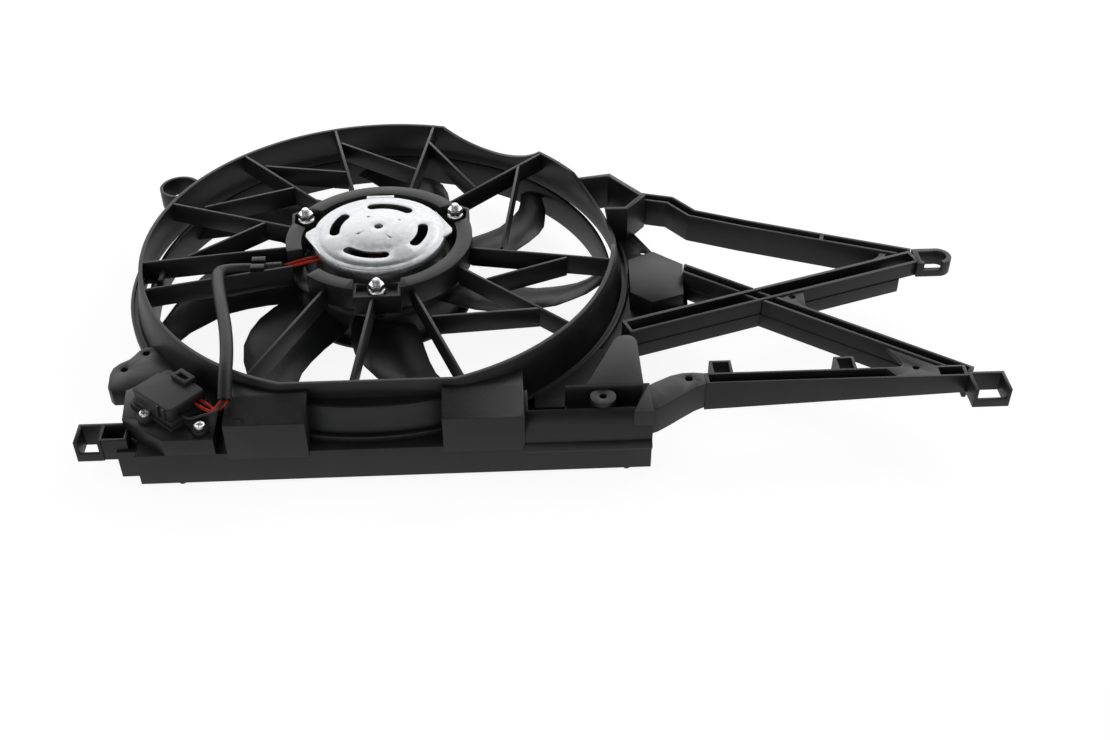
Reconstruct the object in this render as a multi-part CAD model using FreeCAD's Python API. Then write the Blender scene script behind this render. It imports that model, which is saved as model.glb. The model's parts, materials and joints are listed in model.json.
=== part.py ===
import FreeCAD, Part
import math
import os

# Radiator cooling fan: a moulded shroud with an arm frame, a permanent magnet
# motor hung in the shroud's centre ring, a fan with a rim, and the motor's lead.
#
# Frame: millimetres, +Z along the fan's axis towards the motor side, +X along
# the long side of the arm frame. The origin is on the fan's axis, level with
# the bottom edge of the front apron.

V = FreeCAD.Vector
UP = V(0, 0, 1)

# Heights of the moulding
RING_TOP = 60.0
RING_LOW = 25.0
FRAME_TOP = 50.0
FRAME_LOW = 27.0
PLATE_THICK = 3.0
WALL = 2.5

# Shroud ring
RING_TOP_R = 178.0
RING_TOP_WALL = 3.0
RING_FOOT_R = 184.0
RING_FOOT_WALL = 3.6
FLANGE_WIDTH = 5.0
FLANGE_R = RING_FOOT_R + FLANGE_WIDTH
FLANGE_THICK = 3.0
FLANGE_BEAD = 2.2
FLAT_DEPTH = 10.0
FLAT_Y = FLAT_DEPTH - RING_TOP_R
FLAT_STEP_Z = 47.0
SCALLOPS = ((60.0, 46.0, 18.0), (13.0, 54.0, 14.0))

# Motor mounting ring and its ribs
MOUNT_R_IN = 58.5
MOUNT_R_OUT = 70.0
MOUNT_TOP = 64.0
MOUNT_LOW = 46.0
STUD_CIRCLE_R = 64.0
STUD_ANGLES = (27.0, 154.0, 271.0)
POCKET_DEPTH = 7.0
TAB_TOP = 61.0
NOTCH_ANGLES = (195.0, 224.0)
RIB_WALL = 2.4
RIB_DEPTH = 16.0
RIBS = (
    (132.0, 132.0), (110.0, 105.0), (73.0, 78.0), (44.0, 44.0), (-11.0, -11.0),
    (-31.0, -39.0), (-67.0, -69.0), (-91.0, -94.0), (-122.0, -117.0), (163.0, 160.0),
)
TRAY_RIBS = ((-175.0, -173.0), (-153.0, -162.0))
CROSS_RIBS = (
    ((104.0, 128.0), (149.0, 159.0)), ((105.0, 107.0), (150.0, 131.0)),
    ((104.0, 75.0), (153.0, 105.0)), ((102.0, 45.0), (150.0, 77.0)),
    ((93.0, -9.0), (150.0, 44.0)), ((97.0, -34.0), (143.0, -12.0)),
    ((106.0, -67.0), (149.0, -38.0)), ((94.0, 162.0), (143.0, 186.0)),
)

# Fan
FAN_HUB_R = 61.5
FAN_FOOT_R = 68.5
FAN_MOUTH_R = 51.0
FAN_HUB_WALL = 2.5
FAN_LOW = 8.0
FAN_HUB_TOP = 38.0
RIM_GAP = 3.6
RIM_FLARE = 1.5
RIM_TOP_R = RING_FOOT_R - RING_FOOT_WALL - RIM_GAP - 0.8
RIM_R = RIM_TOP_R - RIM_FLARE
RIM_WALL = 2.5
RIM_LOW = 6.0
RIM_TOP = 30.0
BLADE_ANGLES = (-169.0, -121.0, -73.0, -9.0, 36.0, 86.0, 140.0)
BLADE_EDGES = (
    (56.0, -35.0, 32.0, 9.0, 20.0), (72.0, -32.5, 33.0, 7.5, 20.0), (90.0, -29.0, 33.0, 5.0, 20.0),
    (105.0, -25.0, 33.0, 4.0, 19.0), (118.0, -20.5, 33.0, 4.0, 18.0), (130.0, -16.0, 32.0, 5.5, 17.0),
    (140.0, -11.0, 29.0, 7.0, 16.0), (150.0, -5.0, 26.0, 8.5, 15.5), (158.0, -1.0, 24.0, 10.5, 15.0),
    (165.0, 3.0, 22.5, 12.5, 15.0), (176.0, 8.0, 21.0, 15.0, 15.0),
)
BLADE_THICK = 2.6
BLADE_CAMBER = 2.5
HUB_RIB_COUNT = 12

# Motor
CAN_R = 48.5
CAN_WALL = 2.0
CAN_LOW = 18.0
CAN_TOP = 62.0
CAP_TOP = 72.5
CAP_SHEET = 1.5
CAP_EDGE_R = 50.0
CAP_EDGE_Z = 67.0
CAP_EAR_X = 54.8
CAP_SLOT_R = (29.2, 37.0)
CAP_SLOTS = ((51.5, 101.5), (144.5, 183.5), (230.5, 279.5), (326.5, 365.5))
CAP_DENTS = ((-15.0, -8.6), (-8.9, 14.8), (15.2, 9.2), (9.0, -14.7))
CAP_NOTCHES = (38.0, 46.0, 62.0, 70.0, 125.0, 236.0)
CAP_HOLE_R = 3.4
SHAFT_R = 4.0
SHAFT_LOW = 1.5
SHAFT_TOP = 69.5
BEARING_R = 11.0
BEARING_GAP = 0.05
CORE_R = 31.0
CORE_LOW = 28.0
CORE_TOP = 45.0
MAGNET_GAP = 1.5
COMMUTATOR_R = 12.0
COMMUTATOR_LOW = 53.0
COMMUTATOR_TOP = 62.5
RUNNING_GAP = 0.3
MAGNET_COUNT = 4
BRUSH_COUNT = 4

# Motor fixings, size M6
STUD_R = 3.0
STUD_TOPS = (71.8, 71.8, 69.5)
NUT_SEATS = (62.0, 62.0, 59.5)
NUT_ACROSS_FLATS = 10.0
NUT_HEIGHT = 6.0
NUT_FLANGE_R = 6.6
NUT_FLANGE_THICK = 1.5
BUSH_R = 8.0
BUSH_THICK = 2.0
FLANGE_SHEET = 3.0

# Front apron and the housings on it
APRON_REACH = 6.0
FRONT_Y = -FLANGE_R - APRON_REACH
APRON_X = (-154.0, 188.0)
APRON_WALL = 3.0
APRON_TOP = 25.0
APRON_END_X = -168.0
APRON_END_Y = (-187.0, -165.0)
PEG_R = 2.5
PEG_DROP = 4.0
PEG_X = (-128.0, 172.0)
BLOCK_X = ((-93.0, -40.0), (49.0, 103.0))
BLOCK_BACK_TOP = 56.0
BLOCK_TOPS = (((-172.0, 54.5), (-172.0, BLOCK_BACK_TOP)), ((-172.0, BLOCK_BACK_TOP), (-164.0, 50.6)))
BLOCK_PROUD = 1.2
BLOCK_LIP_LOW = 21.0
POCKET_X = (128.0, 183.0)
POCKET_FLOOR = 34.0
POCKET_BOSS = (156.0, -176.0)
POCKET_BACK = (-168.5, -166.0)
POCKET_BOSS_R = 8.6
POCKET_FRONT = ((-184.2, 51.0), (-184.2, 44.0), (-183.6, 34.0), (-168.5, 34.0), (-168.5, 51.0))
POCKET_END = ((175.0, -195.0), (188.0, -166.0), (188.0, -195.0))
POCKET_OPEN_X = 131.0
POCKET_OPEN_Z = 28.0
SCOOP_FACE = (
    (-186.0, 44.6), (-187.5, 43.8), (-190.5, 41.2), (-193.2, 38.0), (-194.6, 34.5), (-195.2, 31.0),
    (-195.4, 28.0), (-195.0, 25.6), (-195.0, 25.0),
)
LEDGE = ((-195.0, 25.6), (-197.4, 23.0), (-198.3, 21.0), (-198.0, 19.2), (-196.4, 18.0), (-195.0, 17.6))
POCKET_HOLE_R = 2.5
HOUSING_TOP = 38.0
HOUSING_PLAN = (
    (-164.0, -172.0), (-134.0, -195.0), (-101.0, -195.0), (-101.0, -150.0),
    (-140.0, -124.0), (-167.0, -142.0),
)

# Arm frame
BRACE_A = ((178.0, -103.5), (404.0, -27.0))
BRACE_A_WIDTH = 15.0
BRACE_B = ((226.0, -32.5), (408.0, -164.5))
BRACE_B_WIDTH = 11.0
BRACE_STEP = 0.8
BRACE_STEP_Z = 38.0
ARM_FLOOR = 3.0
NEAR_BAR_Y = (-169.0, -157.5)
NEAR_BAR_X = (226.0, 405.0)
ARM_END_LOW = 35.0
BAR_WALL = 1.8
BAR_TROUGHS = ((350.0, 355.5), (386.0, 402.5))
CLIP_HOLE = (371.1, -158.6)
BAR_ROOT_PLAN = (
    (175.0, -195.0), (186.0, -194.6), (192.0, -192.0), (200.0, -186.5), (210.0, -179.0), (219.0, -172.5),
    (226.0, -169.0), (226.0, -157.5), (219.0, -156.4), (211.0, -156.6), (203.0, -159.0), (195.0, -163.5),
    (190.0, -166.3), (188.0, -168.0), (175.0, -172.0),
)
BAR_ROOT_HOLE = (215.0, -163.0)
SOCKET_X = ((231.0, 246.0), (317.0, 331.0))
SOCKET_DEPTH = 13.0
TOP_BAR = ((197.0, 70.0), (228.0, 61.0), (243.0, 41.0), (280.0, 25.0), (352.0, -3.0), (402.0, -22.0))
TOP_BAR_WIDTH = 11.0
SCREW_HOLE_R = 2.5

# Loops that drop over the radiator's pegs
LEFT_CLIP = ((-195.0, -177.0), (-186.0, -167.0), (14.0, 31.0))
RIGHT_CLIP = ((405.0, 430.0), (-185.0, -165.0), (35.0, 50.0))
CLIP_NEAR_WALL = 6.5
NECK_END_X = -160.0
EYE_X = (404.0, 432.0)
EYE_Y = -27.5
EYE_R = 10.0
EYE_WALL = 4.0
EYE_LOW = 38.0
EYE_NOTCH = ((409.5, 423.0), 43.5)
EAR_ANGLE = 149.0
EAR_R = 16.0
EAR_REACH = 2.0
EAR_LOW = 35.0

# Root plate, hexagonal box, hexagonal collar, side web, ear plate
COLLAR_TOP = 57.0
COLLAR_WALL = 4.0
COLLAR_PLAN = ((150.0, 83.5), (156.0, 87.5), (182.0, 92.5), (208.0, 58.0), (192.0, 38.0), (160.0, 38.0))
HEX_BOX_PLAN = ((188.0, -11.0), (208.0, -1.0), (229.0, -19.0), (225.0, -57.0), (201.0, -66.0), (186.0, -53.0))
HEX_BOX_TOP = 43.0
ROOT_PLATE_PLAN = (
    (175.0, 46.0), (199.0, 46.0), (213.0, 14.0), (232.0, -20.0), (229.0, -62.0),
    (218.0, -92.0), (188.0, -104.0), (160.0, -104.0),
)
ROOT_PLATE_HOLES = ((203.0, 20.0, 2.8), (212.5, 7.0, 1.4), (207.0, -81.0, 2.2))
SIDE_SHELF_PLAN = (
    (145.5, -166.0), (167.8, -118.0), (170.5, -114.8), (174.5, -112.8), (179.0, -112.9), (182.4, -115.5),
    (184.0, -120.0), (184.0, -166.0),
)
EAR_PLATE_PLAN = (
    (-181.5, -124.0), (-180.5, -117.5), (-177.0, -112.5), (-171.0, -108.0), (-168.0, -103.0), (-166.0, -98.5),
    (-162.0, -95.5), (-150.0, -92.0), (-130.0, -130.0),
    (-140.0, -124.0), (-167.0, -142.0), (-177.0, -142.0), (-180.0, -138.5),
)
EAR_PLATE_HOLES = ((-172.5, -119.5), (-160.5, -102.0))

# Lead, sleeve and plug
SLEEVE_R = 4.5
SLEEVE_ROUTE = (
    (-71.0, -27.0, 56.0), (-88.0, -28.5, 56.0), (-104.0, -29.0, 57.0), (-116.0, -37.0, 61.5),
    (-112.5, -58.0, 66.0), (-105.5, -88.0, 69.0), (-98.0, -118.0, 70.0), (-93.5, -146.0, 69.5),
    (-92.5, -166.0, 67.0), (-92.0, -180.0, 59.0),
)
LEAD_R = 1.2
THIN_LEAD_R = 0.9
RED_LEAD_POINTS = (
    ((-93.5, -184.2, 56.6), (-98.0, -184.5, 53.5)),
    ((-97.2, -183.0, 55.6), (-101.0, -183.4, 52.0)),
)
BLACK_LEAD_POINTS = ((-95.0, -188.0, 56.5),)
LEAD_ENTRY_Z = 47.5
MOTOR_LEADS = (
    ((-71.0, -25.0, 56.0), (-58.0, -21.0, 58.0), (-42.0, -16.5, 58.5)),
    ((-71.0, -29.2, 56.0), (-57.0, -25.5, 58.0), (-40.0, -21.0, 58.5)),
)
PLUG_CENTRE = (-133.0, -159.9)
PLUG_TURN = -42.0
PLUG_LENGTH = 40.0
PLUG_WIDTH = 31.0
PLUG_TOP = 53.5
PLUG_CORNER = 4.0
PLUG_SHOULDER = 1.6
PLUG_WALL = 2.0
SOCKET_WALL_TOP = 44.5
SOCKET_BASE = 3.0
TERMINAL_X = (-8.0, 0.0, 8.0)
RESISTOR_SIZE = (24.0, 12.0, 9.0)
SCREWS = ((-148.0, -172.0), (-110.0, -186.0))
SCREW_HEAD_R = 3.6
SCREW_HEAD = 2.6
SCREW_R = 1.8


def polar(r, deg, z=0.0):
    """Point at radius r and angle deg about the fan's axis."""
    a = math.radians(deg)
    return V(r * math.cos(a), r * math.sin(a), z)


def plan_polar(r, deg):
    """Plan point (x, y) at radius r and angle deg."""
    p = polar(r, deg)
    return (p.x, p.y)


def disc(r, z0, z1, centre=(0.0, 0.0)):
    """Upright cylinder."""
    return Part.makeCylinder(r, z1 - z0, V(centre[0], centre[1], z0))


def tube(r_in, r_out, z0, z1, centre=(0.0, 0.0)):
    """Upright ring."""
    return disc(r_out, z0, z1, centre).cut(disc(r_in, z0 - 1.0, z1 + 1.0, centre))


def block(x, y, z):
    """Box between pairs of limits."""
    return Part.makeBox(x[1] - x[0], y[1] - y[0], z[1] - z[0], V(x[0], y[0], z[0]))


def prism(plan, z0, z1):
    """Upright prism on a plan outline."""
    points = [V(x, y, z0) for x, y in plan]
    return Part.Face(Part.makePolygon(points + points[:1])).extrude(V(0, 0, z1 - z0))


def side_prism(outline, x0, x1):
    """Prism along X on an outline of (y, z) points."""
    points = [V(x0, y, z) for y, z in outline]
    return Part.Face(Part.makePolygon(points + points[:1])).extrude(V(x1 - x0, 0, 0))


def turned(profile):
    """Solid of revolution about the fan's axis from (r, z) points."""
    points = [V(r, 0, z) for r, z in profile]
    return Part.Face(Part.makePolygon(points + points[:1])).revolve(V(0, 0, 0), UP, 360)


def around(shape, deg):
    """Copy of a shape turned about the fan's axis."""
    copy = shape.copy()
    copy.rotate(V(0, 0, 0), UP, deg)
    return copy


def inset(plan, gap):
    """Plan outline moved inwards by gap, for a convex outline."""
    cx = sum(p[0] for p in plan) / len(plan)
    cy = sum(p[1] for p in plan) / len(plan)
    lines = []
    for (x0, y0), (x1, y1) in zip(plan, plan[1:] + plan[:1]):
        length = math.hypot(x1 - x0, y1 - y0)
        nx, ny = (y0 - y1) / length, (x1 - x0) / length
        if nx * (cx - x0) + ny * (cy - y0) < 0:
            nx, ny = -nx, -ny
        lines.append((nx, ny, nx * x0 + ny * y0 + gap))
    corners = []
    for (a, b, c), (d, e, f) in zip(lines[-1:] + lines[:-1], lines):
        det = a * e - b * d
        corners.append(((c * e - b * f) / det, (a * f - c * d) / det))
    return tuple(corners)


def strip(p, q, width, z0, z1):
    """Straight bar of a given width between two plan points."""
    length = math.hypot(q[0] - p[0], q[1] - p[1])
    nx, ny = (p[1] - q[1]) / length * width / 2, (q[0] - p[0]) / length * width / 2
    plan = ((p[0] + nx, p[1] + ny), (p[0] - nx, p[1] - ny), (q[0] - nx, q[1] - ny), (q[0] + nx, q[1] + ny))
    return prism(plan, z0, z1)


def along(p, q, distance):
    """Plan point at a distance from p towards q."""
    length = math.hypot(q[0] - p[0], q[1] - p[1])
    return (p[0] + (q[0] - p[0]) * distance / length, p[1] + (q[1] - p[1]) * distance / length)


def chain(points, width, z0, z1):
    """Bar through plan points, with a round elbow at each inner point."""
    body = None
    for p, q in zip(points, points[1:]):
        part = strip(p, q, width, z0, z1)
        body = part if body is None else body.fuse(part)
    for p in points[1:-1]:
        body = body.fuse(disc(width / 2, z0, z1, p))
    return body.removeSplitter()


def channel(points, width, z0, z1, wall=WALL, floor=ARM_FLOOR):
    """Bar open along its top, closed at both ends."""
    inner = list(points)
    inner[0] = along(points[0], points[1], wall)
    inner[-1] = along(points[-1], points[-2], wall)
    return chain(points, width, z0, z1).cut(chain(inner, width - 2 * wall, z0 + floor, z1 + 1.0))


def solids(*shapes):
    """One compound of all the solids in the shapes."""
    found = []
    for shape in shapes:
        found.extend(shape.Solids)
    return Part.makeCompound(found)


def swept(route, r, label):
    """Round bar along straight runs joined by tangent arcs; prints its radii."""
    points = [V(*p) for p in route]
    edges = []
    radii = []
    start = points[0]
    for before, corner, after in zip(points, points[1:], points[2:]):
        into = (corner - before).normalize()
        out = (after - corner).normalize()
        turn = into.getAngle(out)
        reach = 0.45 * min((corner - before).Length, (after - corner).Length)
        radii.append(round(reach / math.tan(turn / 2), 1))
        a = corner - into * reach
        b = corner + out * reach
        bend = (out - into).normalize()
        radius = reach / math.tan(turn / 2)
        middle = corner + bend * (math.hypot(radius, reach) - radius)
        edges.append(Part.LineSegment(start, a).toShape())
        edges.append(Part.Arc(a, middle, b).toShape())
        start = b
    edges.append(Part.LineSegment(start, points[-1]).toShape())
    path = Part.Wire(edges)
    end = Part.Wire(Part.Circle(points[0], points[1] - points[0], r).toShape())
    bar = path.makePipeShell([end], True, False)
    expected = math.pi * r * r * path.Length
    print(label, "radii", radii, "length", round(path.Length, 1), "volume ratio", round(bar.Volume / expected, 4))
    return bar


def ring_outside():
    """Everything inside the shroud ring's outer face, filled."""
    wall = turned((
        (0, RING_LOW), (FLANGE_R, RING_LOW), (FLANGE_R, RING_LOW + FLANGE_THICK + FLANGE_BEAD),
        (FLANGE_R - FLANGE_BEAD, RING_LOW + FLANGE_THICK + FLANGE_BEAD),
        (FLANGE_R - FLANGE_BEAD, RING_LOW + FLANGE_THICK), (RING_FOOT_R, RING_LOW + FLANGE_THICK),
        (RING_TOP_R, RING_TOP), (0, RING_TOP),
    ))
    beyond = block((-FLANGE_R, FLANGE_R), (-2 * FLANGE_R, FLAT_Y), (FLAT_STEP_Z, RING_TOP + 1))
    return wall.cut(beyond)


def ring_inside():
    """The air space inside the shroud ring, filled."""
    low = RING_LOW - 1.0
    foot = RING_FOOT_R - RING_FOOT_WALL
    space = turned(((0, low), (foot, low), (foot, RING_LOW), (RING_TOP_R - RING_TOP_WALL, RING_TOP),
                    (RING_TOP_R - RING_TOP_WALL, RING_TOP + 1), (0, RING_TOP + 1)))
    beyond = block((-FLANGE_R, FLANGE_R), (-2 * FLANGE_R, FLAT_Y + RING_TOP_WALL),
                   (FLAT_STEP_Z - RING_TOP_WALL, RING_TOP + 2))
    return space.cut(beyond)


def shroud_ring():
    """Ring wall with its flange, flattened at the front and scalloped at the right."""
    ring = ring_outside().cut(ring_inside())
    for angle, half_width, depth in SCALLOPS:
        r = (half_width ** 2 + depth ** 2) / (2 * depth)
        cutter = Part.makeCylinder(r, 60.0, V(RING_TOP_R - 30.0, 0, RING_TOP - depth + r), V(1, 0, 0))
        ring = ring.cut(around(cutter, angle))
    slope = (RING_FOOT_R - RING_TOP_R) / (RING_TOP - RING_LOW - FLANGE_THICK)
    edge = RING_TOP_R + slope * (RING_TOP - FLAT_STEP_Z)
    lip = tube(edge - 2.2, edge - 0.1, FLAT_STEP_Z - 1.0, FLAT_STEP_Z + 1.4)
    return ring.fuse(lip.common(block((BLOCK_X[0][1], BLOCK_X[1][0]), (-200.0, -150.0), (0, 90)))).removeSplitter()


def nut_pocket(depth_from, depth_to, shrink):
    """Five-sided boss outline on the mounting ring, at angle zero."""
    plan = ((-9.0, -15.0), (5.0, -12.5), (12.0, 0.0), (5.0, 12.5), (-9.0, 15.0))
    plan = inset(plan, shrink) if shrink else plan
    return prism(tuple((STUD_CIRCLE_R + u, t) for u, t in plan), depth_from, depth_to)


def tab_outline(depth_from, depth_to, shrink):
    """Rectangular boss outline on the mounting ring, at angle zero."""
    return block((STUD_CIRCLE_R - 8.0 + shrink, STUD_CIRCLE_R + 10.0 - shrink), (-17.0 + shrink, 17.0 - shrink),
                 (depth_from, depth_to))


def motor_mount_ring():
    """Ring that carries the motor, with two pockets, a tab, nut seats and a notch for the lead."""
    ring = tube(MOUNT_R_IN, MOUNT_R_OUT, MOUNT_LOW, MOUNT_TOP)
    bore = disc(MOUNT_R_IN, MOUNT_LOW - 1, MOUNT_TOP + 1)
    tab_angle = STUD_ANGLES[2]
    for angle in STUD_ANGLES[:2]:
        ring = ring.fuse(around(nut_pocket(MOUNT_LOW, MOUNT_TOP, 0).cut(bore), angle))
        ring = ring.cut(around(nut_pocket(MOUNT_TOP - POCKET_DEPTH, MOUNT_TOP + 1, 2.0), angle))
    ring = ring.cut(around(tab_outline(TAB_TOP, MOUNT_TOP + 1, 0), tab_angle))
    ring = ring.fuse(around(tab_outline(MOUNT_LOW, TAB_TOP, 0).cut(bore), tab_angle))
    ring = ring.cut(around(tab_outline(MOUNT_TOP - POCKET_DEPTH, TAB_TOP + 1, 2.0), tab_angle))
    low, high = NOTCH_ANGLES
    wedge = prism(((0, 0), plan_polar(2 * MOUNT_R_OUT, low), plan_polar(2 * MOUNT_R_OUT, high)),
                  MOUNT_LOW + PLATE_THICK, MOUNT_TOP + 1)
    ring = ring.cut(wedge)
    for angle, seat in zip(STUD_ANGLES, NUT_SEATS):
        place = plan_polar(STUD_CIRCLE_R, angle)
        ring = ring.fuse(disc(NUT_FLANGE_R, MOUNT_TOP - POCKET_DEPTH - 1.0, seat, place).cut(bore))
        ring = ring.cut(disc(STUD_R + RUNNING_GAP, MOUNT_LOW - 1, MOUNT_TOP + 1, place))
    return ring.removeSplitter()


def rib_space():
    """Space between the mounting ring's outside and the shroud wall."""
    low, high = RING_LOW - 5.0, RING_TOP + 5.0
    space = ring_inside().cut(disc(MOUNT_R_OUT, low, high))
    for angle in STUD_ANGLES[:2]:
        space = space.cut(around(nut_pocket(low, high, 0), angle))
    return space.cut(around(tab_outline(low, high, 0), STUD_ANGLES[2]))


def radial_rib(inner_angle, outer_angle, space, low):
    """One rib from the mounting ring to the shroud wall."""
    p = plan_polar(MOUNT_R_OUT - 4.0, inner_angle)
    q = plan_polar(FLANGE_R, outer_angle)
    rib = strip(p, q, RIB_WALL, low, RING_TOP).common(space)
    return max(rib.Solids, key=lambda s: s.Volume)


def radial_ribs(space):
    """All the ribs between the mounting ring and the shroud wall."""
    return solids(*[radial_rib(a, b, space, RING_TOP - RIB_DEPTH) for a, b in RIBS])


def cross_ribs(space, others):
    """Diagonal ribs between neighbouring radial ribs."""
    found = []
    for start, end in CROSS_RIBS:
        rib = strip(plan_polar(*start), plan_polar(*end), RIB_WALL - 0.4, RING_TOP - RIB_DEPTH, RING_TOP)
        rib = rib.common(space).cut(others)
        found.append(max(rib.Solids, key=lambda s: s.Volume))
    return solids(*found)


def cable_tray(space):
    """Two ribs with a floor between them, which carry the lead."""
    ribs = [radial_rib(a, b, space, RING_TOP - RIB_DEPTH) for a, b in TRAY_RIBS]
    (a0, a1), (b0, b1) = TRAY_RIBS
    r = MOUNT_R_OUT + 50.0
    floor = prism((plan_polar(MOUNT_R_OUT - 4, a0), plan_polar(r, (a0 + a1) / 2), plan_polar(r, (b0 + b1) / 2),
                   plan_polar(MOUNT_R_OUT - 4, b0)), RING_TOP - RIB_DEPTH, RING_TOP - RIB_DEPTH + PLATE_THICK)
    tray = floor.common(space).fuse(ribs[0]).fuse(ribs[1]).removeSplitter()
    return tray


def tray_clip():
    """Post with a round seat that holds the sleeve on the tray."""
    x, y, z = SLEEVE_ROUTE[1]
    clip = block((x - 5.0, x + 5.0), (y - SLEEVE_R - 3.0, y + SLEEVE_R + 3.0),
                 (RING_TOP - RIB_DEPTH + PLATE_THICK, z + SLEEVE_R + 2.0))
    direction = V(*SLEEVE_ROUTE[1]) - V(*SLEEVE_ROUTE[0])
    seat = Part.makeCylinder(SLEEVE_R + RUNNING_GAP, 40.0, V(*SLEEVE_ROUTE[0]), direction)
    mouth = block((x - 6.0, x + 6.0), (y - 2.0, y + 2.0), (z, z + SLEEVE_R + 3.0))
    return clip.cut(seat).cut(mouth)


def wall_clip(tray):
    """Comb between the tray's ribs at the shroud wall, which can hold a cable."""
    low = RING_TOP - RIB_DEPTH
    comb = block((-182.0, -158.0), (-48.0, -4.0), (low, low + PLATE_THICK))
    comb = comb.cut(block((-172.0, -164.0), (-38.0, -26.0), (low - 1, low + 5)))
    comb = comb.cut(block((-172.0, -162.0), (-20.0, -12.0), (low - 1, low + 5)))
    for x, y, top in (((-161.0, -158.0), (-36.0, -20.0), 10.0), ((-177.0, -172.0), (-40.0, -30.0), 9.0),
                      ((-177.0, -172.0), (-24.0, -12.0), 12.0), ((-166.0, -161.0), (-25.0, -20.5), 8.0)):
        comb = comb.fuse(block(x, y, (low, low + top)))
    comb = comb.common(ring_inside()).cut(tray)
    return max(comb.Solids, key=lambda s: s.Volume)


def hub_outline():
    """The hub's outer shape, filled: a foot, a straight wall and a rounded shoulder."""
    return turned((
        (0, FAN_LOW), (FAN_FOOT_R, FAN_LOW), (FAN_FOOT_R, FAN_LOW + 2.2), (FAN_FOOT_R - 3.0, FAN_LOW + 3.4),
        (FAN_HUB_R + 1.4, FAN_LOW + 4.2), (FAN_HUB_R, FAN_LOW + 6.0), (FAN_HUB_R, FAN_HUB_TOP - 12.0),
        (FAN_HUB_R - 1.2, FAN_HUB_TOP - 6.5), (FAN_HUB_R - 3.2, FAN_HUB_TOP - 3.0), (FAN_HUB_R - 6.2, FAN_HUB_TOP - 0.8),
        (FAN_MOUTH_R + 1.0, FAN_HUB_TOP), (0, FAN_HUB_TOP),
    ))


def fan_hub():
    """Hub cup with a rounded shoulder, open towards the motor, ribbed on its radiator side."""
    inner = FAN_HUB_R - FAN_HUB_WALL
    hollow = turned((
        (0, FAN_LOW + PLATE_THICK), (inner, FAN_LOW + PLATE_THICK), (inner, FAN_HUB_TOP - 12.5),
        (inner - 1.4, FAN_HUB_TOP - 7.5), (inner - 4.0, FAN_HUB_TOP - 4.0), (FAN_MOUTH_R, FAN_HUB_TOP - 2.6),
        (FAN_MOUTH_R, FAN_HUB_TOP + 1), (0, FAN_HUB_TOP + 1),
    ))
    hub = hub_outline().cut(hollow)
    dish = tube(22.0, inner - 3.5, FAN_LOW - 1.0, FAN_LOW + 1.0)
    hub = hub.cut(dish)
    for k in range(HUB_RIB_COUNT):
        rib = strip((20.0, 0.0), (inner - 2.5, 0.0), 1.8, FAN_LOW, FAN_LOW + 2.0)
        hub = hub.fuse(around(rib, 360.0 * k / HUB_RIB_COUNT))
    return hub.cut(disc(SHAFT_R, FAN_LOW - 1, FAN_LOW + PLATE_THICK + 1)).removeSplitter()


def blade_section(edges, blade_angle):
    """Closed outline of the blade at one radius, bulged upwards and thin at both edges."""
    r, angle_a, z_a, angle_b, z_b = edges
    upper = []
    lower = []
    for u, thin in ((0.0, 0.35), (0.28, 1.0), (0.64, 1.0), (1.0, 0.35)):
        angle = blade_angle + angle_a + (angle_b - angle_a) * u
        z = z_a + (z_b - z_a) * u + BLADE_CAMBER * 4.0 * u * (1.0 - u)
        upper.append(polar(r, angle, z + thin * BLADE_THICK / 2))
        lower.append(polar(r, angle, z - thin * BLADE_THICK / 2))
    points = upper + lower[::-1]
    return Part.makePolygon(points + points[:1])


def fan_blades():
    """Swept blades between the hub and the rim, broad near the hub and narrow at the rim."""
    inside = disc(RIM_R - RIM_WALL, 0.0, 60.0).cut(hub_outline())
    found = []
    for angle in BLADE_ANGLES:
        loft = Part.makeLoft([blade_section(edges, angle) for edges in BLADE_EDGES], True, True)
        found.append(max(loft.common(inside).Solids, key=lambda s: s.Volume))
    return solids(*found)


def fan_rim():
    """Rim that joins the blade tips, flared at its top edge."""
    return turned((
        (RIM_R - RIM_WALL, RIM_LOW), (RIM_R, RIM_LOW), (RIM_R, RIM_TOP - 9.0), (RIM_TOP_R, RIM_TOP - 2.0),
        (RIM_TOP_R, RIM_TOP), (RIM_TOP_R - 3.0, RIM_TOP), (RIM_R - RIM_WALL, RIM_TOP - 8.0),
    ))


def drive_plate():
    """Steel plate that keys the fan's hub to the shaft."""
    plate = disc(16.0, FAN_LOW + PLATE_THICK, FAN_LOW + PLATE_THICK + 2.5)
    collar = disc(8.0, FAN_LOW + PLATE_THICK + 2.5, FAN_LOW + PLATE_THICK + 3.5)
    return plate.fuse(collar).cut(disc(SHAFT_R, 0, 40)).removeSplitter()


def hexagon(across_flats, z0, z1, centre=(0.0, 0.0)):
    """Upright six-sided prism."""
    r = across_flats / math.sqrt(3)
    plan = [(centre[0] + r * math.cos(math.radians(60 * k)), centre[1] + r * math.sin(math.radians(60 * k)))
            for k in range(6)]
    return prism(plan, z0, z1)


def shaft_nut():
    """Nut that holds the hub on the shaft's end."""
    return hexagon(13.0, FAN_LOW - 5.0, FAN_LOW).cut(disc(SHAFT_R, 0, 40))


def motor_can():
    """Drawn steel can with a bearing neck."""
    can = disc(CAN_R, CAN_LOW, CAN_TOP).cut(disc(CAN_R - CAN_WALL, CAN_LOW + CAN_WALL, CAN_TOP + 1))
    neck = disc(BEARING_R + CAN_WALL, CAN_LOW - 3.0, CAN_LOW + 6.0)
    can = can.fuse(neck)
    bore = disc(BEARING_R, CAN_LOW - 1.5, CAN_LOW + 7.0)
    return can.cut(bore).cut(disc(SHAFT_R + 1.5, 0, CAN_TOP)).removeSplitter()


def bearing(low, high, r):
    """Bearing ring round the shaft."""
    return tube(SHAFT_R + BEARING_GAP, r, low, high)


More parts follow.
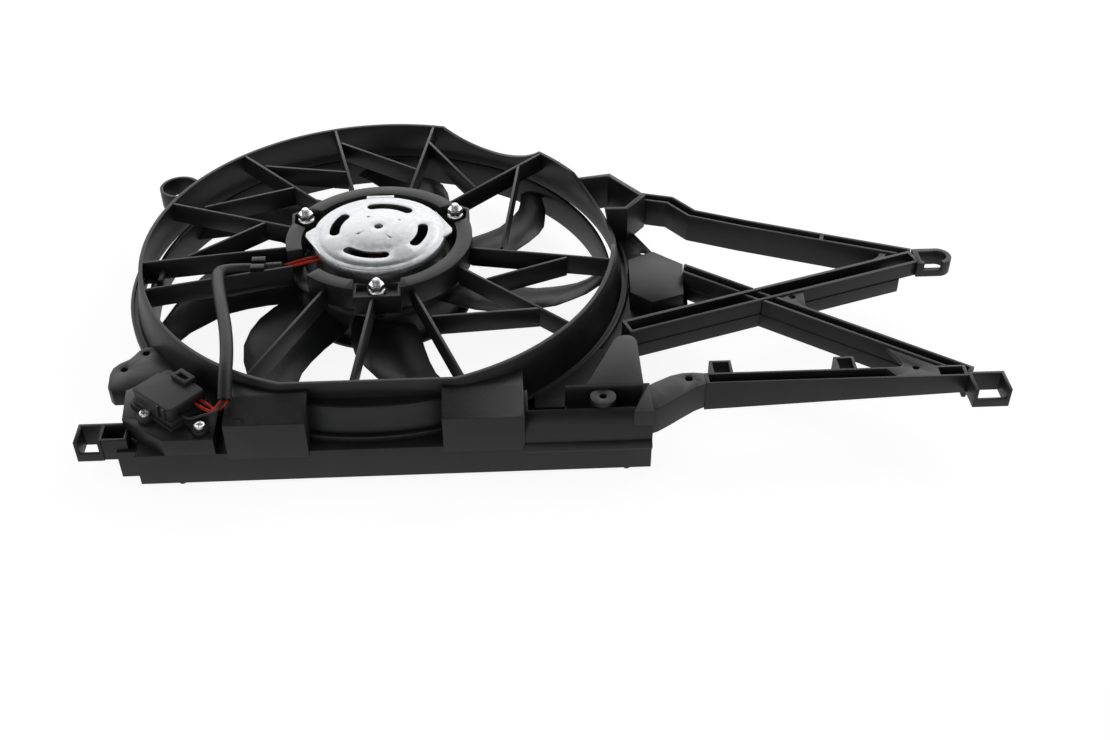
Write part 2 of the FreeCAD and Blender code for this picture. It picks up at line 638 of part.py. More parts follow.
def motor_end_cap():
    """Flat domed sheet cap with four curved slots, a centre hole, rim notches and two pointed ears."""
    top = CAP_TOP
    edge = CAP_EDGE_Z
    sheet = CAP_SHEET
    outer = turned((
        (0, CAN_TOP), (CAP_EDGE_R, CAN_TOP), (CAP_EDGE_R, edge - 1.4), (CAP_EDGE_R - 0.5, edge - 0.4),
        (CAP_EDGE_R - 1.6, edge), (CAN_R - 3, edge), (CAN_R - 6, edge + 1.6),
        (28.5, edge + 2.3), (23.0, edge + 3.6), (17.0, top - 0.9), (9.0, top - 0.2), (0, top),
    ))
    inner = turned((
        (0, CAN_TOP - 1), (CAN_R, CAN_TOP - 1), (CAN_R, edge - sheet), (CAN_R - 3.5, edge - sheet),
        (CAN_R - 6.5, edge + 1.6 - sheet), (28.2, edge + 2.3 - sheet), (22.7, edge + 3.6 - sheet),
        (16.8, top - 0.9 - sheet), (0, top - 0.9 - sheet),
    ))
    cap = outer.cut(inner)
    ear = prism(((42.0, 27.0), (CAP_EAR_X, 3.0), (CAP_EAR_X, -2.0), (CAP_EDGE_R - 0.8, -8.5), (CAN_R - 2.0, -8.0)),
                edge - sheet, edge).cut(disc(CAN_R, 0, top))
    cap = cap.fuse(ear).fuse(around(ear, 180))
    tab = block((-12.0, 9.0), (CAN_R - 2.0, CAP_EDGE_R + 1.6), (edge - sheet, edge)).cut(disc(CAN_R, 0, top))
    cap = cap.fuse(tab)
    for angle in CAP_NOTCHES:
        cap = cap.cut(disc(1.3, edge - 2, edge + 1, plan_polar(CAP_EDGE_R + 0.6, angle)))
    r0, r1 = CAP_SLOT_R
    for a0, a1 in CAP_SLOTS:
        slot = tube(r0, r1, edge - 3, top + 1)
        steps = [plan_polar(60.0, a0 + (a1 - a0) * k / 4) for k in range(5)]
        slot = slot.common(prism([(0.0, 0.0)] + steps, edge - 4, top + 2))
        for a in (a0, a1):
            slot = slot.fuse(disc((r1 - r0) / 2, edge - 3, top + 1, plan_polar((r0 + r1) / 2, a)))
        cap = cap.cut(slot)
    for x, y in CAP_DENTS:
        cap = cap.cut(Part.makeCone(0.8, 2.6, 1.1, V(x, y, top - 1.5)))
    cup = tube(BEARING_R - 2, BEARING_R, SHAFT_TOP - 6.0, top - 0.9 - sheet)
    cap = cap.fuse(cup).cut(disc(CAP_HOLE_R, 0, top + 1))
    return cap.removeSplitter()


def magnets():
    """Curved magnets on the can's wall, round the armature."""
    ring = tube(CORE_R + MAGNET_GAP, CAN_R - CAN_WALL, CORE_LOW - 2, CORE_TOP + 2)
    found = []
    for k in range(MAGNET_COUNT):
        middle = 360.0 * k / MAGNET_COUNT + 45
        fan = prism([(0, 0)] + [plan_polar(80.0, middle + a) for a in (-36, -12, 12, 36)], 0, 90)
        found.append(ring.common(fan))
    return solids(*found)


def armature_core():
    """Stack of slotted steel sheets on the shaft."""
    core = tube(SHAFT_R, CORE_R, CORE_LOW, CORE_TOP)
    for k in range(10):
        slot = block((CORE_R - 9, CORE_R + 1), (-1.2, 1.2), (CORE_LOW - 1, CORE_TOP + 1))
        core = core.cut(around(slot, 36 * k))
    return core


def armature_windings():
    """Copper windings at both ends of the core."""
    lower = tube(SHAFT_R + 3, CORE_R - 2, CORE_LOW - 4, CORE_LOW)
    upper = tube(SHAFT_R + 3, CORE_R - 2, CORE_TOP, CORE_TOP + 4)
    return solids(lower, upper)


def commutator():
    """Copper commutator with its bars."""
    drum = tube(SHAFT_R, COMMUTATOR_R, COMMUTATOR_LOW, COMMUTATOR_TOP)
    for k in range(10):
        slot = block((COMMUTATOR_R - 1, COMMUTATOR_R + 1), (-0.3, 0.3), (COMMUTATOR_LOW, COMMUTATOR_TOP + 1))
        drum = drum.cut(around(slot, 36 * k))
    return drum


def brush_holder():
    """Insulating plate that carries the brush boxes."""
    plate = tube(COMMUTATOR_R + 4, CAN_R - CAN_WALL, COMMUTATOR_LOW - 2, COMMUTATOR_LOW)
    for k in range(BRUSH_COUNT):
        case = block((COMMUTATOR_R + 4, COMMUTATOR_R + 22), (-5.0, 5.0), (COMMUTATOR_LOW, COMMUTATOR_TOP - 1))
        hole = block((COMMUTATOR_R + 3, COMMUTATOR_R + 20.5), (-3.5, 3.5), (COMMUTATOR_LOW + 1.2, COMMUTATOR_TOP - 2.2))
        plate = plate.fuse(around(case.cut(hole), 90 * k + 45))
    return plate.removeSplitter()


def brushes():
    """Carbon brushes in their boxes."""
    one = block((COMMUTATOR_R + RUNNING_GAP, COMMUTATOR_R + 12), (-3.3, 3.3), (COMMUTATOR_LOW + 1.2, COMMUTATOR_TOP - 2.4))
    return solids(*[around(one, 90 * k + 45) for k in range(BRUSH_COUNT)])


def brush_springs():
    """Springs behind the brushes, each as its outer shape."""
    z = (COMMUTATOR_LOW + COMMUTATOR_TOP - 1.2) / 2
    one = Part.makeCylinder(2.2, 8.5, V(COMMUTATOR_R + 12, 0, z), V(1, 0, 0))
    return solids(*[around(one, 90 * k + 45) for k in range(BRUSH_COUNT)])


def motor_flange():
    """Steel plate round the can, with an ear for each stud."""
    top = MOUNT_LOW - BUSH_THICK
    plate = tube(CAN_R, CAN_R + 8.0, top - FLANGE_SHEET, top)
    for angle in STUD_ANGLES:
        ear = strip((CAN_R + 3, 0.0), (STUD_CIRCLE_R, 0.0), 18.0, top - FLANGE_SHEET, top)
        ear = ear.fuse(disc(9.0, top - FLANGE_SHEET, top, (STUD_CIRCLE_R, 0.0)))
        plate = plate.fuse(around(ear.cut(disc(CAN_R, 0, 90)), angle))
    for angle in STUD_ANGLES:
        plate = plate.cut(disc(STUD_R, 0, 90, plan_polar(STUD_CIRCLE_R, angle)))
    return plate.removeSplitter()


def stud_places():
    """Plan points of the motor's studs."""
    return [plan_polar(STUD_CIRCLE_R, angle) for angle in STUD_ANGLES]


def motor_bushes():
    """Rubber bushes between the motor's ears and the mounting ring."""
    top = MOUNT_LOW
    return solids(*[tube(STUD_R, BUSH_R, top - BUSH_THICK, top, p) for p in stud_places()])


def motor_studs():
    """Studs pressed into the motor's ears, with rounded ends."""
    low = MOUNT_LOW - BUSH_THICK - FLANGE_SHEET
    found = []
    for p, top in zip(stud_places(), STUD_TOPS):
        stud = disc(STUD_R, low, top - 1.0, p).fuse(disc(STUD_R + 2, low - 2, low, p))
        end = Part.makeCone(STUD_R, STUD_R - 1.0, 1.0, V(p[0], p[1], top - 1.0))
        found.append(stud.fuse(end).removeSplitter())
    return solids(*found)


def flange_nuts():
    """Flange nuts on the studs, with chamfered corners."""
    found = []
    for p, seat in zip(stud_places(), NUT_SEATS):
        nut = hexagon(NUT_ACROSS_FLATS, seat + NUT_FLANGE_THICK, seat + NUT_HEIGHT, p)
        reach = NUT_ACROSS_FLATS / math.sqrt(3)
        cone = Part.makeCone(reach + 2.0, NUT_ACROSS_FLATS / 2 - 0.2, 2.4, V(p[0], p[1], seat + NUT_HEIGHT - 2.4))
        nut = nut.common(cone.fuse(disc(reach + 2.0, seat, seat + NUT_HEIGHT - 2.4, p)))
        brim = Part.makeCone(NUT_FLANGE_R, reach, NUT_FLANGE_THICK, V(p[0], p[1], seat))
        nut = nut.fuse(brim)
        found.append(nut.cut(disc(STUD_R, 0, 90, p)).removeSplitter())
    return solids(*found)


def front_apron(ring_fill):
    """Apron wall under the front housings, with its deck, ends and locating pegs."""
    x0, x1 = APRON_X
    back = -150.0
    deck = block(APRON_X, (FRONT_Y, back), (APRON_TOP - PLATE_THICK, APRON_TOP))
    wall = block(APRON_X, (FRONT_Y, FRONT_Y + APRON_WALL), (0.0, APRON_TOP))
    right = block((x1 - APRON_WALL, x1), (FRONT_Y, back), (0.0, APRON_TOP))
    left = block((x0, x0 + APRON_WALL), (FRONT_Y, back), (0.0, APRON_TOP))
    end = block((APRON_END_X, x0), APRON_END_Y, (0.0, APRON_TOP - PLATE_THICK))
    hollow = block((APRON_END_X + WALL, x0 + 1), (APRON_END_Y[0] + WALL, APRON_END_Y[1] - WALL),
                   (-1.0, APRON_TOP - 2 * PLATE_THICK))
    apron = deck.fuse(wall).fuse(right).fuse(left).fuse(end.cut(hollow))
    foot = RING_FOOT_R - RING_FOOT_WALL
    apron = apron.cut(disc(foot + 1.0, -1.0, APRON_TOP + 1))
    rail = tube(foot + 1.0, foot + 1.0 + APRON_WALL, 0.0, APRON_TOP)
    apron = apron.fuse(rail.common(block((x0, x1), (FRONT_Y, back), (0.0, APRON_TOP))))
    for x in PEG_X:
        y = FRONT_Y + APRON_WALL + PEG_R
        apron = apron.fuse(disc(PEG_R + 1.5, 0.0, APRON_TOP - PLATE_THICK, (x, y)))
        apron = apron.fuse(disc(PEG_R, -PEG_DROP, 0.0, (x, y)))
    ledge = side_prism([point for point in LEDGE if point[1] <= APRON_TOP] + [(FRONT_Y, APRON_TOP)], BLOCK_X[1][1], x1)
    return apron.fuse(ledge).cut(ring_fill).removeSplitter()


def slanted(outline_a, outline_b, x):
    """Solid between two (y, z) outlines, one at each limit of x."""
    wires = []
    for outline, at in ((outline_a, x[0]), (outline_b, x[1])):
        points = [V(at, y, z) for y, z in outline]
        wires.append(Part.makePolygon(points + points[:1]))
    return Part.makeLoft(wires, True, True)


def duct_block(x, tops, ring_fill):
    """Hollow housing between the ring and the apron's front, with a sloping top."""
    face = FRONT_Y - BLOCK_PROUD
    low = APRON_TOP - 1.0
    outer = [((face, APRON_TOP), (face, FRAME_TOP), (y, top), (-140.0, top), (-140.0, APRON_TOP)) for y, top in tops]
    inner = [((face + WALL, low), (face + WALL, FRAME_TOP - WALL), (y - 2, top - WALL - 1), (-130.0, top - WALL - 1),
              (-130.0, low)) for y, top in tops]
    shell = slanted(outer[0], outer[1], x)
    hollow = slanted(inner[0], inner[1], x).cut(block((x[0] - 1, x[0] + WALL), (-300, 0), (0, 90)))
    hollow = hollow.cut(block((x[1] - WALL, x[1] + 1), (-300, 0), (0, 90)))
    lip = block(x, (face, FRONT_Y), (BLOCK_LIP_LOW, APRON_TOP))
    return shell.cut(hollow).fuse(lip).cut(ring_fill).removeSplitter()


def pocket_housing(ring_fill):
    """Right housing: a deep pocket with a screw boss behind a smoothly scooped front."""
    x0, x1 = BLOCK_X[1][1], APRON_X[1]
    back = POCKET_BACK[1]
    body = side_prism(SCOOP_FACE + ((back, APRON_TOP), (back, FRAME_TOP)), x0, x1)
    end = prism(POCKET_END, 38.0, FRAME_TOP)
    pocket = side_prism(POCKET_FRONT, POCKET_X[0], POCKET_X[1])
    slant = [(x - 2.0, y) for x, y in POCKET_END[:2]] + [(x1 + 2, POCKET_END[1][1]), (x1 + 2, POCKET_END[0][1])]
    body = body.fuse(end).cut(pocket.cut(prism(slant, 0, 90)))
    well = [(y, POCKET_OPEN_Z if z < 40 else z) for y, z in POCKET_FRONT[:-2]]
    well = well + [(back + 1, POCKET_OPEN_Z), (back + 1, FRAME_TOP + 1)]
    body = body.cut(side_prism(well, x0 + WALL, POCKET_OPEN_X))
    body = body.cut(block((x0 - 1, POCKET_OPEN_X), (POCKET_BACK[0], back + 1), (POCKET_OPEN_Z, FRAME_TOP + 1)))
    body = body.cut(ring_fill)
    boss = disc(POCKET_BOSS_R, POCKET_FLOOR, FRAME_TOP - 2.0, POCKET_BOSS)
    body = body.fuse(boss).cut(disc(POCKET_HOLE_R, POCKET_FLOOR, FRAME_TOP, POCKET_BOSS))
    return max(body.removeSplitter().Solids, key=lambda s: s.Volume)


def resistor_housing(ring_fill):
    """Left six-sided housing, hollow below, that carries the plug."""
    body = prism(HOUSING_PLAN, APRON_TOP, HOUSING_TOP)
    hollow = prism(inset(HOUSING_PLAN, WALL), APRON_TOP - 1, HOUSING_TOP - PLATE_THICK)
    x, y, z = RESISTOR_SIZE
    body = body.cut(hollow).cut(plug_frame(block((-x / 2, x / 2), (-y / 2, y / 2), (0, 90))))
    for place in SCREWS:
        body = body.cut(disc(SCREW_R, 0, 90, place))
    return body.cut(ring_fill).removeSplitter()


def stepped(points, width):
    """Arm channel whose lower half stands proud of its upper half."""
    arm = channel(points, width, FRAME_LOW, FRAME_TOP)
    lower = chain(points, width + 2 * BRACE_STEP, FRAME_LOW, BRACE_STEP_Z)
    core = chain(points, width - 2 * WALL, FRAME_LOW - 1, FRAME_TOP)
    return arm.fuse(lower.cut(core)).removeSplitter()


def brace_long(ring_fill):
    """Arm from the ring to the eye, with two webs in its trough where the arms cross."""
    arm = stepped(BRACE_A, BRACE_A_WIDTH)
    trough = chain(BRACE_A, BRACE_A_WIDTH - WALL, FRAME_LOW, FRAME_TOP - 1)
    (px, py), (qx, qy) = BRACE_B
    length = math.hypot(qx - px, qy - py)
    for side in (-1, 1):
        shift = side * (BRACE_B_WIDTH - WALL) / 2
        dx, dy = -(qy - py) / length * shift, (qx - px) / length * shift
        web = strip((px + dx, py + dy), (qx + dx, qy + dy), WALL - 0.5, FRAME_LOW + 1, FRAME_TOP - 1)
        arm = arm.fuse(web.common(trough))
    arm = arm.cut(block((391.0, EYE_X[0] + 30), (-80.0, 40.0), (FRAME_LOW - 1, EYE_LOW)))
    tip = block((EYE_X[0], EYE_X[0] + 30), (-80.0, 40.0), (0, FRAME_TOP + 1))
    return arm.cut(ring_fill).cut(tip).removeSplitter()


def brace_cross():
    """Arm from the hexagonal box to the right clip, in two halves beside the long one."""
    arm = stepped(BRACE_B, BRACE_B_WIDTH)
    envelope = chain(BRACE_A, BRACE_A_WIDTH + 2 * BRACE_STEP, FRAME_LOW - 1, FRAME_TOP + 1)
    arm = arm.cut(envelope).cut(prism(HEX_BOX_PLAN, FRAME_LOW - 1, FRAME_TOP + 1))
    bar_space = block((NEAR_BAR_X[0], NEAR_BAR_X[1]), NEAR_BAR_Y, (FRAME_LOW - 1, FRAME_TOP + 1))
    clip_space = block(RIGHT_CLIP[0], RIGHT_CLIP[1], (0, FRAME_TOP + 1))
    arm = arm.cut(bar_space).cut(clip_space)
    return solids(*[s for s in arm.Solids if s.Volume > 500.0])


def near_bar():
    """Arm along the front, deeper at its root than at the right clip."""
    x0, x1 = NEAR_BAR_X
    y0, y1 = NEAR_BAR_Y
    outline = [V(x0, y0, FRAME_LOW), V(x1, y0, ARM_END_LOW), V(x1, y0, FRAME_TOP), V(x0, y0, FRAME_TOP)]
    bar = Part.Face(Part.makePolygon(outline + outline[:1])).extrude(V(0, y1 - y0, 0))
    far, near = y1 - BAR_WALL, y0 + BAR_WALL
    slope = (ARM_END_LOW - FRAME_LOW) / (x1 - x0)
    (far_end, near_end), (second_start, second_end) = BAR_TROUGHS
    low = [V(x, near, FRAME_LOW + 5 + slope * (x - x0)) for x in (x0 + WALL, near_end)]
    trough = [low[0], low[1], V(near_end, near, FRAME_TOP + 1), V(x0 + WALL, near, FRAME_TOP + 1)]
    trough = Part.Face(Part.makePolygon(trough + trough[:1])).extrude(V(0, far - near, 0))
    corner = prism(((far_end, far + 1), (near_end + 1, near - 1), (near_end + 1, far + 1)), 0, FRAME_TOP + 2)
    bar = bar.cut(trough.cut(corner))
    bar = bar.cut(block((second_start, second_end), (near, far), (FRAME_TOP - 9, FRAME_TOP + 1)))
    bar = bar.cut(disc(SCREW_HOLE_R, FRAME_TOP - 9, FRAME_TOP + 1, CLIP_HOLE))
    for x in SOCKET_X:
        case = block(x, (y1, y1 + SOCKET_DEPTH), (FRAME_TOP - 14, FRAME_TOP))
        hole = block((x[0] + 2, x[1] - 2), (y1, y1 + SOCKET_DEPTH - 2), (FRAME_TOP - 15, FRAME_TOP + 1))
        bar = bar.fuse(case.cut(hole))
    return bar.removeSplitter()


def bar_root():
    """Curved root that joins the near bar to the pocket housing."""
    body = prism(BAR_ROOT_PLAN, FRAME_LOW + 2, FRAME_TOP)
    body = body.cut(block((APRON_X[0], APRON_X[1]), (FRONT_Y - 5, -150.0), (0, FRAME_TOP + 1)))
    return body.cut(disc(SCREW_HOLE_R, FRAME_LOW, FRAME_TOP + 1, BAR_ROOT_HOLE))


def top_bar():
    """Cranked arm from the hexagonal collar to the eye."""
    bar = channel(TOP_BAR, TOP_BAR_WIDTH, FRAME_LOW, FRAME_TOP)
    tie = along(TOP_BAR[4], TOP_BAR[3], 14.0)
    bar = bar.fuse(disc(TOP_BAR_WIDTH / 2 - 0.5, FRAME_LOW, FRAME_TOP, tie).common(
        strip(along(TOP_BAR[4], TOP_BAR[3], 12.5), along(TOP_BAR[4], TOP_BAR[3], 15.5), TOP_BAR_WIDTH, 0, 90)))
    envelope = chain(BRACE_A, BRACE_A_WIDTH + 2 * BRACE_STEP, FRAME_LOW - 1, FRAME_TOP + 1)
    tip = block((EYE_X[0], EYE_X[0] + 30), (-80.0, 60.0), (0, FRAME_TOP + 1))
    bar = bar.cut(envelope).cut(tip).cut(prism(COLLAR_PLAN, 0, FRAME_TOP + 1)).cut(ring_outside())
    return max(bar.Solids, key=lambda s: s.Volume)


def eye_loop():
    """Rounded loop at the frame's far right."""
    centre = (EYE_X[1] - EYE_R, EYE_Y)
    outer = disc(EYE_R, EYE_LOW, FRAME_TOP, centre)
    outer = outer.fuse(block((EYE_X[0], centre[0]), (EYE_Y - EYE_R, EYE_Y + EYE_R), (EYE_LOW, FRAME_TOP)))
    inner = disc(EYE_R - EYE_WALL, 0, 90, centre)
    inner = inner.fuse(block((EYE_X[0] + EYE_WALL, centre[0]), (EYE_Y - EYE_R + EYE_WALL, EYE_Y + EYE_R - EYE_WALL), (0, 90)))
    notch_x, notch_z = EYE_NOTCH
    notch = block(notch_x, (EYE_Y - EYE_R - 1, EYE_Y - EYE_R + EYE_WALL + 0.5), (notch_z, FRAME_TOP + 1))
    return outer.cut(inner).cut(notch).removeSplitter()


def clip_loop(x, y, z):
    """Rectangular loop with a low near wall."""
    loop = block(x, y, z).cut(block((x[0] + WALL, x[1] - WALL), (y[0] + WALL, y[1] - WALL), (0, 90)))
    gap = block((x[0] + WALL, x[1] - WALL), (y[0] - 1, y[0] + WALL + 1), (z[0] + CLIP_NEAR_WALL, z[1] + 1))
    return loop.cut(gap)


def left_clip():
    """Left loop with its neck to the apron's end."""
    x, y, z = LEFT_CLIP
    loop = clip_loop(x, y, z)
    neck = block((x[1] - WALL, NECK_END_X), (y[0] + 1.0, y[1]), z)
    hollow = block((x[1], NECK_END_X - WALL), (y[0] + 1.0 + WALL, y[1] - WALL), (z[0] + PLATE_THICK, z[1] + 1))
    neck = neck.cut(hollow).cut(prism(HOUSING_PLAN, 0, 90))
    neck = neck.cut(block((APRON_END_X, 0), (-200, -100), (0, APRON_TOP - PLATE_THICK)))
    return max(loop.fuse(neck).removeSplitter().Solids, key=lambda s: s.Volume)


def ring_ear(ring_fill):
    """Round loop on the ring, at the far left."""
    centre = plan_polar(RING_TOP_R + EAR_R + EAR_REACH, EAR_ANGLE)
    return tube(EAR_R - WALL, EAR_R, EAR_LOW, FRAME_TOP, centre).cut(ring_fill)


def hex_collar(ring_fill):
    """Open six-sided collar beside the ring, where the top bar starts."""
    collar = prism(COLLAR_PLAN, FRAME_LOW, COLLAR_TOP).cut(prism(inset(COLLAR_PLAN, COLLAR_WALL), 0, 90))
    return max(collar.cut(ring_fill).Solids, key=lambda s: s.Volume)


def root_plate(ring_fill):
    """Flat plate outside the ring that carries the box, the collar and both braces."""
    low = FRAME_LOW - PLATE_THICK + 1.0
    plate = prism(ROOT_PLATE_PLAN, low, FRAME_LOW + 1.0).cut(ring_fill)
    for x, y, r in ROOT_PLATE_HOLES:
        plate = plate.cut(disc(r, 0, 90, (x, y)))
    keep = plate.cut(prism(COLLAR_PLAN, FRAME_LOW, 90))
    keep = keep.cut(chain(BRACE_A, BRACE_A_WIDTH + 2 * BRACE_STEP, FRAME_LOW, 90))
    keep = keep.cut(chain(BRACE_B, BRACE_B_WIDTH + 2 * BRACE_STEP, FRAME_LOW, 90))
    return max(keep.Solids, key=lambda s: s.Volume)


def hex_box():
    """Closed six-sided box on the root plate."""
    low = FRAME_LOW + 1.0
    box = prism(HEX_BOX_PLAN, low, HEX_BOX_TOP)
    return box.cut(prism(inset(HEX_BOX_PLAN, WALL), low - 1, HEX_BOX_TOP - WALL))


def side_shelf():
    """Tapered shelf behind the pocket housing, open below, with a low web to the ring's flange."""
    shelf = prism(SIDE_SHELF_PLAN, FRAME_LOW + 1.0, FRAME_TOP)
    room = prism(inset(SIDE_SHELF_PLAN, WALL), 0, FRAME_TOP - PLATE_THICK)
    near = SIDE_SHELF_PLAN[0][1]
    web = block((SIDE_SHELF_PLAN[0][0] - 35.0, SIDE_SHELF_PLAN[-1][0]), (near, -104.0),
                (FRAME_LOW + 1.0, FRAME_LOW + 1.0 + PLATE_THICK))
    shelf = shelf.fuse(web.cut(prism(SIDE_SHELF_PLAN, 0, 90))).cut(room).cut(disc(FLANGE_R, 0, 90))
    arm = chain(BRACE_A, BRACE_A_WIDTH + 2 * BRACE_STEP, FRAME_LOW - 1, 90)
    return max(shelf.cut(arm).removeSplitter().Solids, key=lambda s: s.Volume)


def ear_plate(ring_fill):
    """Flat ear left of the ring, with a screw hole and a locating hole."""
    plate = prism(EAR_PLATE_PLAN, APRON_TOP, HOUSING_TOP).cut(ring_fill).cut(prism(HOUSING_PLAN, 0, 90))
    plate = max(plate.Solids, key=lambda s: s.Volume)
    for centre in EAR_PLATE_HOLES:
        plate = plate.cut(disc(SCREW_HOLE_R, 0, 90, centre))
    return plate


def gusset(plan, hole, cutters):
    """Thin web between two arms, with a hole."""
    web = prism(plan, FRAME_TOP - PLATE_THICK - 1, FRAME_TOP - 1)
    for cutter in cutters:
        web = web.cut(cutter)
    web = max(web.Solids, key=lambda s: s.Volume)
    return web.cut(disc(SCREW_HOLE_R, 0, 90, hole))


def arm_gussets():
    """Webs beside the crossing, at the eye and at the right clip."""
    long_arm = chain(BRACE_A, BRACE_A_WIDTH, 0, 90)
    cross_arm = chain(BRACE_B, BRACE_B_WIDTH, 0, 90)
    upper = chain(TOP_BAR, TOP_BAR_WIDTH, 0, 90)
    bar = block(NEAR_BAR_X, NEAR_BAR_Y, (0, 90))
    crossing = gusset(((278.0, -70.0), (312.0, -58.5), (311.7, -64.9), (309.0, -93.0)), (302.0, -73.0), (long_arm, cross_arm))
    at_eye = gusset(((368.0, -6.0), (404.0, -20.0), (404.0, -27.0), (362.0, -38.0), (371.2, -29.3), (376.6, -25.0),
                     (378.9, -20.5), (378.5, -15.0), (374.0, -11.0)), (385.0, -24.4), (long_arm, upper))
    at_clip = gusset(((404.0, -161.6), (353.0, -124.6), (358.5, -140.0), (362.2, -148.5), (363.6, -152.5),
                      (362.0, -155.5), (356.0, -157.5), (356.0, -160.0), (404.0, -160.0)), CLIP_HOLE, (cross_arm, bar))
    return solids(crossing, at_eye, at_clip)


def plug_frame(shape):
    """Shape modelled about the plug's own centre, turned and moved to its place."""
    copy = shape.copy()
    copy.rotate(V(0, 0, 0), UP, PLUG_TURN)
    copy.translate(V(PLUG_CENTRE[0], PLUG_CENTRE[1], 0))
    return copy


def plug_socket():
    """Socket that stands on the left housing, with two screw ears."""
    a, b = PLUG_LENGTH / 2, PLUG_WIDTH / 2
    base = block((-a - 2, a + 2), (-b - 2, b + 2), (HOUSING_TOP, HOUSING_TOP + SOCKET_BASE))
    wall = block((-a, a), (-b, b), (HOUSING_TOP + SOCKET_BASE, SOCKET_WALL_TOP))
    hollow = block((-a + PLUG_WALL, a - PLUG_WALL), (-b + PLUG_WALL, b - PLUG_WALL),
                   (HOUSING_TOP + SOCKET_BASE, SOCKET_WALL_TOP + 1))
    body = plug_frame(base.fuse(wall.cut(hollow)))
    for x, y in SCREWS:
        ear = disc(SCREW_HEAD_R + 2.0, HOUSING_TOP, HOUSING_TOP + SOCKET_BASE, (x, y))
        neck = strip((x, y), along((x, y), PLUG_CENTRE, 20.0), 8.0, HOUSING_TOP, HOUSING_TOP + SOCKET_BASE)
        body = body.fuse(ear).fuse(neck).cut(disc(SCREW_R, 0, 90, (x, y)))
    return body.cut(terminals()).removeSplitter()


def terminals():
    """Flat blades from the resistor up into the plug."""
    low = HOUSING_TOP - RESISTOR_SIZE[2] + 2.0
    return solids(*[plug_frame(block((x - 2.4, x + 2.4), (-0.4, 0.4), (low, SOCKET_WALL_TOP + 1))) for x in TERMINAL_X])


def plug_body():
    """Plug over the socket, with a step, two ribs and a hollow for each blade."""
    a, b = PLUG_LENGTH / 2, PLUG_WIDTH / 2
    low = HOUSING_TOP + SOCKET_BASE
    stem = block((-a + PLUG_WALL, a - PLUG_WALL), (-b + PLUG_WALL, b - PLUG_WALL), (low, SOCKET_WALL_TOP))
    cap = block((-a, a), (-b, b), (SOCKET_WALL_TOP, PLUG_TOP))
    cap = cap.makeFillet(PLUG_CORNER, [e for e in cap.Edges if abs(e.BoundBox.ZLength - (PLUG_TOP - SOCKET_WALL_TOP)) < 0.01])
    cap = cap.makeFillet(PLUG_SHOULDER, [e for e in cap.Edges if e.BoundBox.ZMin > PLUG_TOP - 0.01])
    body = stem.fuse(cap).cut(block((-a - 1, -a + 14), (b - 8, b + 1), (PLUG_TOP - 3, PLUG_TOP + 1)))
    body = body.cut(block((-a - 1, -a + 5), (-b - 1, b + 1), (PLUG_TOP - 1.5, PLUG_TOP + 1)))
    for x in (a - 12.0, a - 6.0):
        body = body.fuse(block((x, x + 2.0), (-b - 1.5, -b), (SOCKET_WALL_TOP, PLUG_TOP)))
    for x in TERMINAL_X:
        body = body.cut(block((x - 3.0, x + 3.0), (-1.2, 1.2), (low - 1, SOCKET_WALL_TOP + 2)))
    return plug_frame(body.removeSplitter())


def plug_latch():
    """Strap at the plug's far end that snaps over its cap."""
    a, b = PLUG_LENGTH / 2, PLUG_WIDTH / 2
    low = SOCKET_WALL_TOP
    post = block((-7.5, 7.5), (b, b + 2.5), (low, PLUG_TOP + 2.5))
    strap = block((-7.5, 7.5), (b - 7.0, b + 2.5), (PLUG_TOP, PLUG_TOP + 2.5))
    window = block((-4.5, 4.5), (b - 4.5, b - 1.0), (PLUG_TOP - 1, PLUG_TOP + 3))
    return plug_frame(post.fuse(strap).cut(window).removeSplitter())


def resistor():
    """Ceramic bar with its wire winding, under the socket."""
    x, y, z = RESISTOR_SIZE
    bar = block((-x / 2, x / 2), (-y / 2, y / 2), (HOUSING_TOP - z, HOUSING_TOP))
    return plug_frame(bar).cut(terminals())


def socket_screws():
    """Screws through the socket's ears."""
    seat = HOUSING_TOP + SOCKET_BASE
    found = []
    for p in SCREWS:
        screw = disc(SCREW_HEAD_R, seat, seat + SCREW_HEAD, p).fuse(disc(SCREW_R, seat - 9.0, seat, p))
        cross = block((p[0] - 2.2, p[0] + 2.2), (p[1] - 0.5, p[1] + 0.5), (seat + SCREW_HEAD - 1.2, seat + 9))
        cross = cross.fuse(block((p[0] - 0.5, p[0] + 0.5), (p[1] - 2.2, p[1] + 2.2), (seat + SCREW_HEAD - 1.2, seat + 9)))
        found.append(screw.cut(cross).removeSplitter())
    return solids(*found)


def plug_face_point(y, out):
    """Point in front of the plug's lead side, y along the side and out from it."""
    turn = math.radians(PLUG_TURN)
    x = PLUG_LENGTH / 2 + out
    return (PLUG_CENTRE[0] + x * math.cos(turn) - y * math.sin(turn),
            PLUG_CENTRE[1] + x * math.sin(turn) + y * math.cos(turn), LEAD_ENTRY_Z)


def lead_route(offset, y, middle):
    """Route of one wire from the sleeve's end to the plug."""
    x, y0, z = SLEEVE_ROUTE[-1]
    start = (x + offset[0], y0 + offset[1], z + offset[2])
    return (start,) + middle + (plug_face_point(y, 9.0), plug_face_point(y, 0.0))


def red_leads():
    """Two red wires from the sleeve to the plug."""
    first = swept(lead_route((1.8, 0.4, -0.4), 10.0, RED_LEAD_POINTS[0]), LEAD_R, "red 1")
    second = swept(lead_route((-1.9, 0.4, -0.4), 5.5, RED_LEAD_POINTS[1]), LEAD_R, "red 2")
    return solids(first, second)


def black_lead():
    """Thin black wire from the sleeve to the plug."""
    return swept(lead_route((0.0, -1.4, 2.4), -8.0, BLACK_LEAD_POINTS), THIN_LEAD_R, "black")


